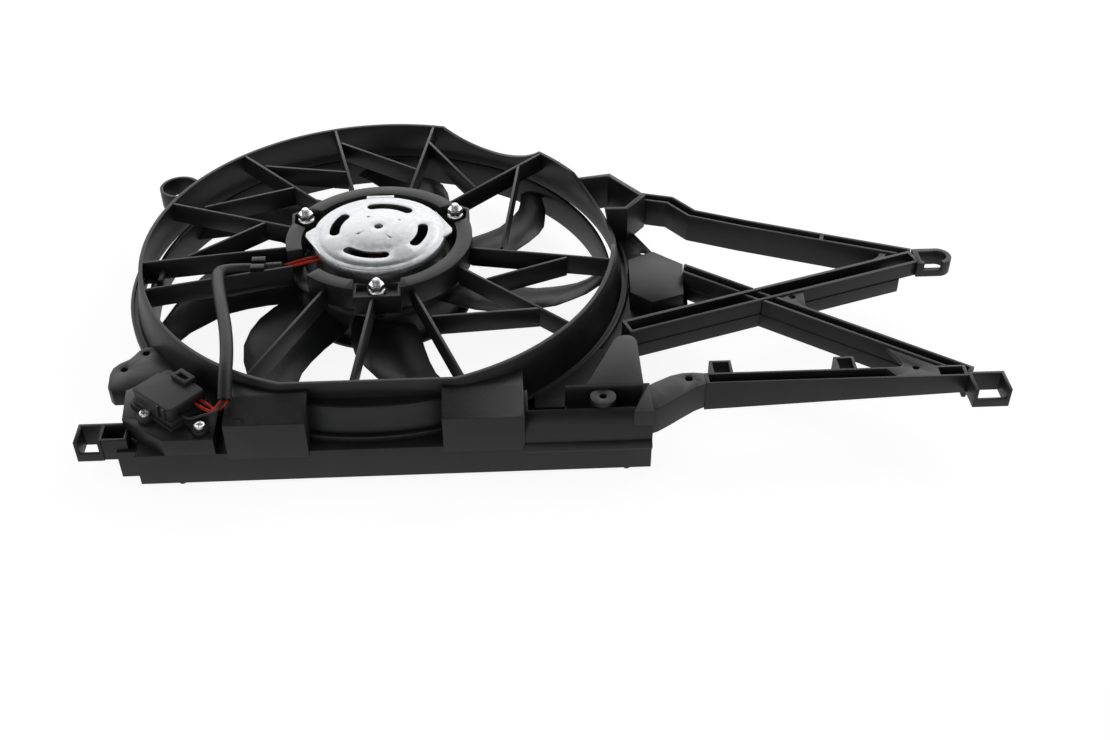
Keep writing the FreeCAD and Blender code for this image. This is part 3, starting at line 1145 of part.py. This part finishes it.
def motor_leads():
    """Two red wires from the sleeve to the motor's can."""
    wires = [swept(route, LEAD_R, "motor lead") for route in MOTOR_LEADS]
    return solids(*[w.cut(disc(CAN_R, 0, 90)) for w in wires])


def build():
    """All the sub-parts, by name."""
    fill = ring_outside()
    sleeve = swept(SLEEVE_ROUTE, SLEEVE_R, "sleeve")
    mount = motor_mount_ring()
    space = rib_space()
    ribs = radial_ribs(space)
    tray = cable_tray(space)
    parts = {
        "shroud_ring": shroud_ring(),
        "motor_mount_ring": mount,
        "radial_ribs": ribs,
        "cross_ribs": cross_ribs(space, solids(ribs, tray)),
        "cable_tray": tray,
        "tray_clip": tray_clip().cut(tray),
        "wall_clip": wall_clip(tray),
        "front_apron": front_apron(fill),
        "left_duct_block": duct_block(BLOCK_X[0], BLOCK_TOPS[0], fill),
        "right_duct_block": duct_block(BLOCK_X[1], BLOCK_TOPS[1], fill),
        "pocket_housing": pocket_housing(fill),
        "resistor_housing": resistor_housing(fill),
        "left_clip": left_clip(),
        "right_clip": clip_loop(*RIGHT_CLIP),
        "near_bar": near_bar(),
        "bar_root": bar_root(),
        "long_brace": brace_long(fill),
        "cross_brace": brace_cross(),
        "top_bar": top_bar(),
        "eye_loop": eye_loop(),
        "arm_gussets": arm_gussets(),
        "ring_ear": ring_ear(fill),
        "hex_collar": hex_collar(fill),
        "root_plate": root_plate(fill),
        "hex_box": hex_box().cut(fill),
        "side_shelf": side_shelf(),
        "ear_plate": ear_plate(fill),
        "fan_hub": fan_hub(),
        "fan_blades": fan_blades(),
        "fan_rim": fan_rim(),
        "drive_plate": drive_plate(),
        "shaft_nut": shaft_nut(),
        "motor_shaft": disc(SHAFT_R, SHAFT_LOW, SHAFT_TOP),
        "motor_can": motor_can(),
        "motor_end_cap": motor_end_cap(),
        "magnets": magnets(),
        "armature_core": armature_core(),
        "armature_windings": armature_windings(),
        "commutator": commutator(),
        "brush_holder": brush_holder(),
        "brushes": brushes(),
        "brush_springs": brush_springs(),
        "lower_bearing": bearing(CAN_LOW - 1.5, CAN_LOW + 6.0, BEARING_R),
        "upper_bearing": bearing(SHAFT_TOP - 6.0, SHAFT_TOP, BEARING_R - 2),
        "motor_flange": motor_flange(),
        "motor_bushes": motor_bushes(),
        "motor_studs": motor_studs(),
        "flange_nuts": flange_nuts(),
        "resistor": resistor(),
        "terminals": terminals(),
        "plug_socket": plug_socket(),
        "plug_body": plug_body(),
        "plug_latch": plug_latch(),
        "socket_screws": socket_screws(),
        "red_leads": solids(red_leads().cut(sleeve)),
        "black_lead": black_lead().cut(sleeve),
        "motor_leads": solids(motor_leads().cut(sleeve)),
        "cable_sleeve": sleeve,
    }
    return parts


def main():
    """Build every sub-part and write it out."""
    os.makedirs("parts", exist_ok=True)
    for name, shape in build().items():
        box = shape.BoundBox
        print(name.ljust(20), "solids", len(shape.Solids), "valid", shape.isValid(),
              "x %.1f %.1f y %.1f %.1f z %.1f %.1f" % (box.XMin, box.XMax, box.YMin, box.YMax, box.ZMin, box.ZMax))
        shape.exportStep("parts/" + name + ".step")


main()
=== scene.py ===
# %% [markdown]
# # A radiator cooling fan
# A car's radiator fan is one large black moulding, with a small motor in its middle and
# a rimmed fan below it. This lesson dresses the engineering model: the same pieces, in
# the same places, with softened edges, real finishes and studio light. The first cell
# loads the model.

# %% Load the model
import json
import math
import bmesh
import bpy
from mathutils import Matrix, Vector


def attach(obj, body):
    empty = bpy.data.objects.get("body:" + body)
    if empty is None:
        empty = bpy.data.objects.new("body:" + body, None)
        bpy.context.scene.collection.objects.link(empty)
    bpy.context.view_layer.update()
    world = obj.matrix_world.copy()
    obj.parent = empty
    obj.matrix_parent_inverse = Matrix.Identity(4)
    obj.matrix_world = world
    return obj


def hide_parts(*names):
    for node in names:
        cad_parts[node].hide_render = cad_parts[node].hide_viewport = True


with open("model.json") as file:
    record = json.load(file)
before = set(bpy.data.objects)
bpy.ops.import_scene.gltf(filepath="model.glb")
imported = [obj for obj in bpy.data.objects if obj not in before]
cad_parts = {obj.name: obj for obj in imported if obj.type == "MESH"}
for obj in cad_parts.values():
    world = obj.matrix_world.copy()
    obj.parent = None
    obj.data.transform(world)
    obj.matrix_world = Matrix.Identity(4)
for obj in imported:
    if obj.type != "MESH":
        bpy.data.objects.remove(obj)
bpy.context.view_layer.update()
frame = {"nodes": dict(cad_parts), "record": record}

MM = 0.001

# %% [markdown]
# ## The camera
# The picture was taken from the front, a little left of straight on and well above the
# part. The camera's place is given as numbers, because its position, its tilt and its lens
# together decide how fast the far side shrinks.

# %% Camera
CAMERA_PLACE = (0.0896, -0.8574, 0.6326)
CAMERA_DOWN = 39.41
CAMERA_TURN = 2.88
LENS = 43.78

camera = bpy.data.objects.new("camera", bpy.data.cameras.new("camera"))
bpy.context.scene.collection.objects.link(camera)
camera.data.lens = LENS
camera.data.sensor_width = 36.0
camera.data.clip_start = 0.01
camera.location = CAMERA_PLACE
camera.rotation_euler = (math.radians(90.0 - CAMERA_DOWN), 0.0, math.radians(-CAMERA_TURN))
bpy.context.scene.camera = camera
print("camera", round((Vector(CAMERA_PLACE)).length, 3), "m from the fan's axis")

# %% [markdown]
# ## Pattern arithmetic
# Blender's materials are graphs of nodes. Wiring each sum by hand hides the idea, so a
# small class wraps a socket: adding or multiplying two of them adds a Math node, and the
# pattern reads as a formula. One more method makes any other node.

# %% A socket that does sums
class Pattern:
    """One output of a material's node, which can be added, multiplied and so on."""

    def __init__(self, finish, socket):
        self.finish = finish
        self.socket = socket

    def sum(self, operation, first, second):
        settings = {"operation": operation}
        return self.finish.node("ShaderNodeMath", settings, {0: first, 1: second})

    def __add__(self, other):
        return self.sum("ADD", self, other)

    def __radd__(self, other):
        return self.sum("ADD", other, self)

    def __sub__(self, other):
        return self.sum("SUBTRACT", self, other)

    def __rsub__(self, other):
        return self.sum("SUBTRACT", other, self)

    def __mul__(self, other):
        return self.sum("MULTIPLY", self, other)

    def __rmul__(self, other):
        return self.sum("MULTIPLY", other, self)


# %% [markdown]
# ## Grey ramps
# A colour ramp turns one number into another along a few stops. Masks in the finishes
# and the studio's walls both use ramps of plain grey, so one helper fills them.

# %% Filling a ramp
def grey(shade):
    """A neutral colour of one brightness."""
    return (shade, shade, shade, 1.0)


def fill_ramp(ramp, stops):
    """Gives a new ramp its stops, each a pair of place and shade."""
    for stop, (place, shade) in ((ramp.elements[0], stops[0]), (ramp.elements[-1], stops[-1])):
        stop.position = place
        stop.color = grey(shade)
    for place, shade in stops[1:-1]:
        ramp.elements.new(place).color = grey(shade)


# %% [markdown]
# ## A finish under construction
# Each finish starts from Blender's own Principled surface. The helpers below add what
# most finishes share: noise at a real size, a ramp that turns a pattern into a mask, a
# blend of two colours, and a bump.

# %% The finish class
class Finish:
    """A material that is being made, with the few nodes that this object needs."""

    def __init__(self, name, colour, roughness, metallic=0.0, specular=0.5):
        self.material = bpy.data.materials.new(name)
        self.material.use_nodes = True
        self.tree = self.material.node_tree
        self.surface = self.tree.nodes["Principled BSDF"]
        self.set("Base Color", (*colour, 1.0))
        self.set("Roughness", roughness)
        self.set("Metallic", metallic)
        self.set("Specular IOR Level", specular)

    def set(self, name, value):
        socket = self.surface.inputs[name]
        if isinstance(value, Pattern):
            self.tree.links.new(value.socket, socket)
        else:
            socket.default_value = value

    def node(self, kind, settings=None, sockets=None, output=0):
        made = self.tree.nodes.new(kind)
        for key, value in (settings or {}).items():
            if key == "stops":
                fill_ramp(made.color_ramp, value)
            else:
                setattr(made, key, value)
        for key, value in (sockets or {}).items():
            if isinstance(value, Pattern):
                self.tree.links.new(value.socket, made.inputs[key])
            else:
                made.inputs[key].default_value = value
        return Pattern(self, made.outputs[output])

    def place(self, stretch=(1.0, 1.0, 1.0)):
        points = self.node("ShaderNodeTexCoord", output="Object")
        return self.node("ShaderNodeMapping", None, {"Vector": points, "Scale": stretch})

    def noise(self, size, detail=3.0, rough=0.5, stretch=(1.0, 1.0, 1.0)):
        sockets = {"Vector": self.place(stretch), "Scale": 1.0 / size, "Detail": detail, "Roughness": rough}
        return self.node("ShaderNodeTexNoise", None, sockets)

    def mask(self, pattern, low, high):
        return self.node("ShaderNodeValToRGB", {"stops": ((low, 0.0), (high, 1.0))}, {"Fac": pattern})

    def blend(self, factor, first, second):
        first = first if isinstance(first, Pattern) else (*first, 1.0)
        second = second if isinstance(second, Pattern) else (*second, 1.0)
        return self.node("ShaderNodeMix", {"data_type": "RGBA"}, {0: factor, 6: first, 7: second}, 2)

    def bump(self, height, distance, strength=1.0):
        sockets = {"Height": height, "Distance": distance, "Strength": strength}
        self.set("Normal", self.node("ShaderNodeBump", None, sockets))


# %% [markdown]
# ## Moulded plastic
# The shroud is glass-filled nylon, nearly black. Its skin has a fine spark-eroded grain,
# duller patches where the melt cooled first, faint flow lines, and pale dust that stays
# on surfaces that face up. Four layers of noise do this: one at half a millimetre for
# the grain, one at a millimetre and a half for specks, one at a few centimetres for the
# patches, and one stretched along the part for the flow lines.

# %% Plastic finishes
def moulded(name, colour, roughness, grain=0.45, dust=0.02):
    """Near black moulded plastic with grain, patches, flow lines and a little dust."""
    finish = Finish(name, colour, roughness, specular=0.42)
    patches = finish.noise(45 * MM, 4.0, 0.6)
    specks = finish.noise(1.6 * MM, 2.0)
    flow = finish.noise(6 * MM, 3.0, 0.55, (0.12, 1.0, 1.0))
    lighter = tuple(1.6 * part + 0.002 for part in colour)
    base = finish.blend(finish.mask(patches, 0.38, 0.72), colour, lighter)
    facing = finish.node("ShaderNodeNewGeometry", output="Normal")
    up = finish.node("ShaderNodeSeparateXYZ", None, {"Vector": facing}, 2)
    settled = finish.mask(up, 0.55, 1.0) * finish.mask(specks + 0.35 * patches, 0.62, 0.95) * dust
    finish.set("Base Color", finish.blend(settled, base, (0.45, 0.43, 0.4)))
    finish.set("Roughness", roughness - 0.06 + 0.16 * patches + 0.07 * flow + 0.4 * settled)
    fine = finish.noise(grain * MM, 2.0, 0.6)
    finish.bump(fine * 0.5 + flow * 0.35 + specks * 0.3, 0.09 * MM, 0.55)
    return finish.material


shroud_plastic = moulded("shroud plastic", (0.0105, 0.011, 0.012), 0.36)
housing_plastic = moulded("housing plastic", (0.011, 0.0115, 0.0125), 0.38, 0.7)
fan_plastic = moulded("fan plastic", (0.009, 0.0095, 0.0105), 0.33, 0.35, 0.01)
plug_plastic = moulded("plug plastic", (0.017, 0.0175, 0.018), 0.47, 0.3)
plastics = (shroud_plastic, housing_plastic, fan_plastic, plug_plastic)
print("plastic finishes:", ", ".join(made.name for made in plastics))

# %% [markdown]
# ## Galvanised and plated steel
# The motor's cap is pressed from zinc-coated sheet. Zinc freezes in flat crystals, so
# the coat is a patchwork of slightly different greys; a Voronoi pattern gives each
# crystal its shade. Fasteners have a finer, brighter plating with soft wear.

# %% Metal finishes
def plated(name, colour, roughness, crystal, contrast, thread=0.0):
    """Zinc-coated steel: crystals of slightly different brightness and gloss, with rubs or a thread."""
    finish = Finish(name, colour, roughness, metallic=1.0)
    warped = finish.noise(2.5 * crystal, 2.0)
    cells = finish.node("ShaderNodeTexVoronoi", {"feature": "F1"},
                        {"Vector": finish.place(), "Scale": 1.0 / crystal, "Randomness": 1.0}, "Color")
    shade = finish.node("ShaderNodeSeparateColor", None, {"Color": cells}, 0)
    rubs = finish.noise(0.8 * MM, 3.0, 0.6, (0.15, 1.0, 1.0))
    mixed = shade * 0.6 + warped * 0.4
    darker = tuple(part * (1.0 - contrast) for part in colour)
    finish.set("Base Color", finish.blend(mixed, darker, colour))
    finish.set("Roughness", roughness - 0.05 + 0.12 * mixed + 0.1 * rubs)
    if thread:
        turns = {"Vector": finish.place(), "Scale": 0.314 / thread}
        groove = finish.node("ShaderNodeTexWave", {"bands_direction": "Z"}, turns, 1)
        finish.bump(groove + rubs * 0.1, 0.35 * MM, 0.8)
    else:
        finish.bump(rubs * 0.5 + shade * 0.2, 0.02 * MM, 0.4)
    return finish.material


cap_steel = plated("galvanised sheet", (0.74, 0.75, 0.77), 0.40, 3.0 * MM, 0.3)
can_steel = plated("drawn can steel", (0.46, 0.46, 0.47), 0.34, 2.0 * MM, 0.25)
zinc_plate = plated("zinc plate", (0.86, 0.86, 0.87), 0.22, 0.9 * MM, 0.12)
dark_steel = plated("dark coated steel", (0.06, 0.06, 0.065), 0.42, 1.5 * MM, 0.3)
core_steel = plated("core sheet steel", (0.35, 0.35, 0.37), 0.4, 1.0 * MM, 0.25)
thread_steel = plated("threaded zinc", (0.84, 0.84, 0.86), 0.26, 0.9 * MM, 0.12, 1.0 * MM)
ground_steel = plated("ground steel", (0.62, 0.62, 0.64), 0.22, 0.6 * MM, 0.1)
copper = plated("copper", (0.85, 0.42, 0.25), 0.3, 0.8 * MM, 0.25)
metals = (cap_steel, can_steel, zinc_plate, dark_steel, core_steel, thread_steel, ground_steel, copper)
print("metal finishes:", ", ".join(made.name for made in metals))

# %% [markdown]
# ## Rubber, ferrite, ceramic and wire
# These are small or half hidden, so they need less: a colour with some mottling, and a
# surface that is neither perfectly smooth nor perfectly dull.

# %% Small finishes
def mottled(name, colour, roughness, size, depth, contrast=0.25):
    """A plain material with soft mottling and a fine uneven surface."""
    finish = Finish(name, colour, roughness, specular=0.4)
    cloud = finish.noise(size, 4.0, 0.6)
    darker = tuple(part * (1.0 - contrast) for part in colour)
    finish.set("Base Color", finish.blend(finish.mask(cloud, 0.3, 0.7), darker, colour))
    finish.set("Roughness", roughness - 0.08 + 0.18 * cloud)
    finish.bump(finish.noise(size / 4, 3.0), depth)
    return finish.material


rubber = mottled("moulded rubber", (0.016, 0.016, 0.016), 0.62, 3 * MM, 0.05 * MM)
ferrite = mottled("ferrite", (0.07, 0.07, 0.075), 0.5, 2 * MM, 0.04 * MM)
ceramic = mottled("glazed ceramic", (0.70, 0.67, 0.60), 0.3, 6 * MM, 0.02 * MM)
red_insulation = mottled("red insulation", (0.62, 0.035, 0.012), 0.38, 4 * MM, 0.02 * MM)
black_insulation = mottled("black insulation", (0.012, 0.012, 0.013), 0.4, 4 * MM, 0.02 * MM)
carbon = mottled("pressed carbon", (0.02, 0.02, 0.02), 0.6, 1 * MM, 0.02 * MM)
small_finishes = (rubber, ferrite, ceramic, red_insulation, black_insulation, carbon)
print("small finishes:", ", ".join(made.name for made in small_finishes))

# %% [markdown]
# ## The wire sleeve
# The lead runs in a tube of shrink fabric. It is dark grey, slightly shiny, with a very
# fine diagonal weave and a faint, slow mottling of its shade. The weave follows the tube
# by its own UV map: U runs along it and V round it.

# %% Sleeve finish
def woven_sleeve():
    """Shrink sleeve: a fine diagonal weave and a slow mottling."""
    finish = Finish("shrink sleeve", (0.020, 0.020, 0.022), 0.45, specular=0.45)
    map_place = finish.node("ShaderNodeTexCoord", output="UV")
    scaled = finish.node("ShaderNodeMapping", None, {"Vector": map_place, "Scale": (220.0, 20.0, 1.0)})
    weave = {"Vector": scaled, "Scale": 1.0, "Distortion": 0.4}
    one = finish.node("ShaderNodeTexWave", {"bands_direction": "DIAGONAL"}, weave, 1)
    slow = finish.noise(9 * MM, 3.0, 0.6)
    finish.set("Base Color", finish.blend(slow, (0.014, 0.014, 0.015), (0.034, 0.034, 0.036)))
    finish.set("Roughness", 0.38 + 0.16 * slow)
    finish.bump(one * 0.25 + slow, 0.25 * MM, 0.6)
    return finish.material


sleeve_finish = woven_sleeve()

# %% [markdown]
# ## Softening a moulded piece
# No moulded or pressed edge is a knife edge; each catches a thin line of light. A copy
# of the engineering mesh is merged, its flat faces are joined, and the sharp edges get a
# small two-step bevel. The copy then stands for the piece it was made from.

# %% Rounded copies
NO_BEVEL = 0.0
EDGE_STEPS = 2
CORNER_ANGLE = 28.0
SMOOTH_ANGLE = 35.0
FLAT_ANGLE = 0.4
MERGE_DISTANCE = 0.002
frame_bodies = frame["record"]["behaviour"]["bodies"]
body_of_node = {node: body for body, nodes in frame_bodies.items() for node in nodes}


def as_piece(shape, name, finish, body):
    """Turns a bmesh into an object that rides on a body, smooth except at its corners."""
    mesh = bpy.data.meshes.new(name)
    for face in shape.faces:
        face.smooth = True
    shape.to_mesh(mesh)
    shape.free()
    mesh.set_sharp_from_angle(angle=math.radians(SMOOTH_ANGLE))
    mesh.materials.append(finish)
    piece = bpy.data.objects.new(name, mesh)
    bpy.context.scene.collection.objects.link(piece)
    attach(piece, body)
    return piece


def soften(node, finish, edge, corner=CORNER_ANGLE):
    """A copy of a node with bevelled edges, edge millimetres wide, in place of the node."""
    shape = bmesh.new()
    shape.from_mesh(frame["nodes"][node].data)
    bmesh.ops.remove_doubles(shape, verts=shape.verts, dist=MERGE_DISTANCE * MM)
    bmesh.ops.dissolve_limit(shape, angle_limit=math.radians(FLAT_ANGLE),
                             verts=shape.verts, edges=shape.edges)
    if edge:
        inner = [line for line in shape.edges if len(line.link_faces) == 2]
        sharp = [line for line in inner if line.calc_face_angle() > math.radians(corner)]
        bmesh.ops.bevel(shape, geom=sharp, offset=edge * MM, offset_type="OFFSET", segments=EDGE_STEPS,
                        profile=0.5, affect="EDGES", clamp_overlap=True, material=-1)
    bmesh.ops.triangulate(shape, faces=[face for face in shape.faces if len(face.verts) > 4])
    piece = as_piece(shape, node + "_dressed", finish, body_of_node[node])
    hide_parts(node)


# %% [markdown]
# ## The shroud and its arms
# These nodes are one moulding on the real part. Each gets the same soft edge, and the
# finish reads object coordinates, so the grain runs on from one node to the next.

# %% Shroud pieces
SHROUD_NODES = (
    "shroud_ring", "motor_mount_ring", "radial_ribs", "cross_ribs", "cable_tray", "tray_clip", "wall_clip",
    "left_clip", "right_clip", "near_bar", "bar_root", "long_brace", "cross_brace", "top_bar",
    "eye_loop", "arm_gussets", "ring_ear", "hex_collar", "root_plate", "hex_box", "side_shelf", "ear_plate",
)
HOUSING_NODES = ("front_apron", "left_duct_block", "right_duct_block", "pocket_housing", "resistor_housing")
SHROUD_EDGE = 0.45
HOUSING_EDGE = 0.7
for node in SHROUD_NODES:
    soften(node, shroud_plastic, SHROUD_EDGE)
for node in HOUSING_NODES:
    soften(node, housing_plastic, HOUSING_EDGE)
print("shroud pieces", len(SHROUD_NODES) + len(HOUSING_NODES))

# %% [markdown]
# ## The fan
# Hub, blades and rim are one moulding too, smoother than the shroud because air drags
# on a rough skin. The blades are curved all over, so only their outline edges are sharp.

# %% Fan pieces
BLADE_CORNER = 50.0
FAN_NODES = (
    ("fan_hub", 0.6, CORNER_ANGLE), ("fan_rim", 0.5, CORNER_ANGLE), ("fan_blades", 0.3, BLADE_CORNER),
)
for node, edge, corner in FAN_NODES:
    soften(node, fan_plastic, edge, corner)
print("fan pieces", len(FAN_NODES))

# %% [markdown]
# ## The motor and its fixings
# The cap is what the eye goes to: bright, with four curved slots. Inside, seen through
# them, are the copper and the steel of the motor.

# %% Motor pieces
METAL_NODES = (
    ("motor_end_cap", cap_steel, 0.4), ("motor_can", can_steel, 0.4), ("motor_flange", dark_steel, 0.4),
    ("motor_studs", thread_steel, 0.25), ("flange_nuts", zinc_plate, 0.35), ("drive_plate", zinc_plate, 0.3),
    ("shaft_nut", zinc_plate, 0.4), ("motor_shaft", ground_steel, 0.3), ("socket_screws", zinc_plate, 0.25),
    ("terminals", copper, 0.1), ("commutator", copper, NO_BEVEL), ("armature_windings", copper, 0.8),
    ("armature_core", core_steel, 0.2), ("lower_bearing", ground_steel, 0.3),
    ("upper_bearing", ground_steel, 0.3), ("brush_springs", ground_steel, 0.2),
)
OTHER_NODES = (
    ("magnets", ferrite, 0.5), ("brush_holder", housing_plastic, 0.2), ("brushes", carbon, 0.2),
    ("motor_bushes", rubber, 0.4), ("resistor", ceramic, 0.5), ("plug_socket", plug_plastic, 0.4),
    ("plug_body", plug_plastic, 0.7), ("plug_latch", plug_plastic, 0.4),
)
for node, finish, edge in METAL_NODES + OTHER_NODES:
    soften(node, finish, edge)
print("motor and plug pieces", len(METAL_NODES) + len(OTHER_NODES))

# %% [markdown]
# ## The lead
# The sleeve leaves the tray beside the motor, bows over the ring's wall and comes down
# to the plug. A NURBS curve through a few points bends as a real tube does, because it
# has no corners at all.

# %% The sleeve and the wires
CURVE_STEPS = 24
ROUND_STEPS = 7
SLEEVE_ROUTE = (
    (-71.0, -27.0, 56.0), (-88.0, -28.5, 56.0), (-104.0, -29.0, 57.0), (-116.0, -37.0, 61.5),
    (-112.5, -58.0, 66.0), (-105.5, -88.0, 69.0), (-98.0, -118.0, 70.0), (-93.5, -146.0, 69.5),
    (-92.5, -166.0, 67.0), (-92.0, -180.0, 59.0),
)
SLEEVE_R = 4.5


def curved_lead(name, route, radius, finish):
    """A round tube on one smooth curve through the route's points."""
    curve = bpy.data.curves.new(name, "CURVE")
    curve.dimensions = "3D"
    curve.resolution_u = CURVE_STEPS
    curve.bevel_depth = radius * MM
    curve.bevel_resolution = ROUND_STEPS
    curve.use_fill_caps = True
    spline = curve.splines.new("NURBS")
    spline.points.add(len(route) - 1)
    for point, place in zip(spline.points, route):
        point.co = (*[value * MM for value in place], 1.0)
    spline.order_u = 3
    spline.use_endpoint_u = True
    curve.materials.append(finish)
    piece = bpy.data.objects.new(name, curve)
    bpy.context.scene.collection.objects.link(piece)
    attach(piece, "shroud")
    return piece


sleeve = curved_lead("wire_sleeve", SLEEVE_ROUTE, SLEEVE_R, sleeve_finish)
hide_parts("cable_sleeve")
WIRE_NODES = (
    ("red_leads", red_insulation), ("black_lead", black_insulation), ("motor_leads", red_insulation),
)
for node, finish in WIRE_NODES:
    soften(node, finish, NO_BEVEL)
print("sleeve through", len(SLEEVE_ROUTE), "points, wires", len(WIRE_NODES))

# %% [markdown]
# ## The floor
# The part was photographed on a white table. More lamp light would whiten a floor but
# also wash out the black plastic, so the floor glows instead. To the camera it is near
# white, with enough tint left to take the part's shadow. To every other ray it is pale
# with a weaker glow, and that is what the upright fronts mirror.

# %% Floor
FLOOR_HEIGHT = -4.0
FLOOR_HALF_SIDE = 6.0
UNSEEN_TINT = (0.82, 0.82, 0.82)
SEEN_TINT = (0.32, 0.32, 0.32)
UNSEEN_GLOW = (0.4, 0.4, 0.4)
SEEN_GLOW = (0.9, 0.9, 0.9)


def pale_floor():
    """A wide white floor under the part."""
    shape = bmesh.new()
    bmesh.ops.create_grid(shape, x_segments=1, y_segments=1, size=FLOOR_HALF_SIDE)
    bmesh.ops.translate(shape, verts=shape.verts, vec=(0.0, 0.0, FLOOR_HEIGHT * MM))
    mesh = bpy.data.meshes.new("floor")
    shape.to_mesh(mesh)
    shape.free()
    finish = Finish("pale floor", UNSEEN_TINT, 0.9, specular=0.1)
    seen = finish.node("ShaderNodeLightPath", output="Is Camera Ray")
    finish.set("Base Color", finish.blend(seen, UNSEEN_TINT, SEEN_TINT))
    finish.set("Emission Color", finish.blend(seen, UNSEEN_GLOW, SEEN_GLOW))
    finish.set("Emission Strength", 1.0)
    mesh.materials.append(finish.material)
    floor = bpy.data.objects.new("floor", mesh)
    bpy.context.scene.collection.objects.link(floor)


pale_floor()
print("floor at", FLOOR_HEIGHT, "mm")

# %% [markdown]
# ## The studio room
# Black plastic shows little of its own colour and much of what it mirrors. Tops mirror
# the pale backdrop behind the part, and slopes that face the camera mirror the dark
# ceiling. The room is two ramps over the direction of a ray: one along Y, from dark to
# the bright backdrop, and one up Z, with dim walls that keep the other sides readable.

# %% Room
ALONG_Y, UP_Z = 1, 2
BACKDROP_STOPS = ((0.42, 0.03), (0.78, 0.10), (0.88, 1.0))
WALL_STOPS = ((0.72, 0.36), (0.84, 0.03))
SEEN_STRENGTH = 1.0
SOFT_STRENGTH = 0.24
MIRRORED_STRENGTH = 1.9


def studio_world():
    """White to the camera, soft to plain surfaces, and a room with a backdrop to mirrors."""
    world = bpy.data.worlds.new("studio")
    bpy.context.scene.world = world
    world.use_nodes = True
    tree = world.node_tree
    way = tree.nodes.new("ShaderNodeTexCoord")
    parts = tree.nodes.new("ShaderNodeSeparateXYZ")
    path = tree.nodes.new("ShaderNodeLightPath")
    tree.links.new(way.outputs["Generated"], parts.inputs[0])

    def light(strength):
        """An even white light."""
        made = tree.nodes.new("ShaderNodeBackground")
        made.inputs["Color"].default_value = grey(1.0)
        made.inputs["Strength"].default_value = strength
        return made

    def shades_along(side, stops):
        """A ramp over one part of the direction, which runs from -1 to 1."""
        half = tree.nodes.new("ShaderNodeMath")
        half.operation = "MULTIPLY_ADD"
        half.inputs[1].default_value = 0.5
        half.inputs[2].default_value = 0.5
        shades = tree.nodes.new("ShaderNodeValToRGB")
        fill_ramp(shades.color_ramp, stops)
        tree.links.new(parts.outputs[side], half.inputs[0])
        tree.links.new(half.outputs[0], shades.inputs[0])
        return shades

    def instead(ray, usual, special):
        """One light for a kind of ray, and the usual light for the others."""
        chosen = tree.nodes.new("ShaderNodeMixShader")
        tree.links.new(path.outputs[ray], chosen.inputs[0])
        tree.links.new(usual.outputs[0], chosen.inputs[1])
        tree.links.new(special.outputs[0], chosen.inputs[2])
        return chosen

    brighter = tree.nodes.new("ShaderNodeMath")
    brighter.operation = "MAXIMUM"
    tree.links.new(shades_along(ALONG_Y, BACKDROP_STOPS).outputs[0], brighter.inputs[0])
    tree.links.new(shades_along(UP_Z, WALL_STOPS).outputs[0], brighter.inputs[1])
    mirrored = light(MIRRORED_STRENGTH)
    tree.links.new(brighter.outputs[0], mirrored.inputs["Color"])
    room = instead("Is Glossy Ray", light(SOFT_STRENGTH), mirrored)
    whole = instead("Is Camera Ray", room, light(SEEN_STRENGTH))
    tree.links.new(whole.outputs[0], tree.nodes["World Output"].inputs["Surface"])


studio_world()
print("world", bpy.context.scene.world.name)

# %% [markdown]
# ## The lamps
# Two soft boxes give the plastic and the zinc their gentle highlights: a key lamp from
# the right and behind, and a weaker fill from the left and in front.

# %% Lamps
LAMPS = (
    ("key lamp", (1.2, 0.9, 1.2), (0.1, 0.0, 0.0), 0.9, 5.5),
    ("fill lamp", (-0.9, -1.2, 0.9), (0.0, 0.0, 0.0), 1.0, 2.5),
)


def soft_lamp(name, place, target, size, power):
    """A square soft box that looks at a point."""
    lamp = bpy.data.lights.new(name, "AREA")
    lamp.shape = "SQUARE"
    lamp.size = size
    lamp.energy = power
    made = bpy.data.objects.new(name, lamp)
    bpy.context.scene.collection.objects.link(made)
    made.location = place
    made.rotation_euler = (Vector(target) - Vector(place)).to_track_quat("-Z", "Y").to_euler()


for lamp_values in LAMPS:
    soft_lamp(*lamp_values)
bpy.context.scene.view_settings.view_transform = "Standard"
print("lamps", len(LAMPS))
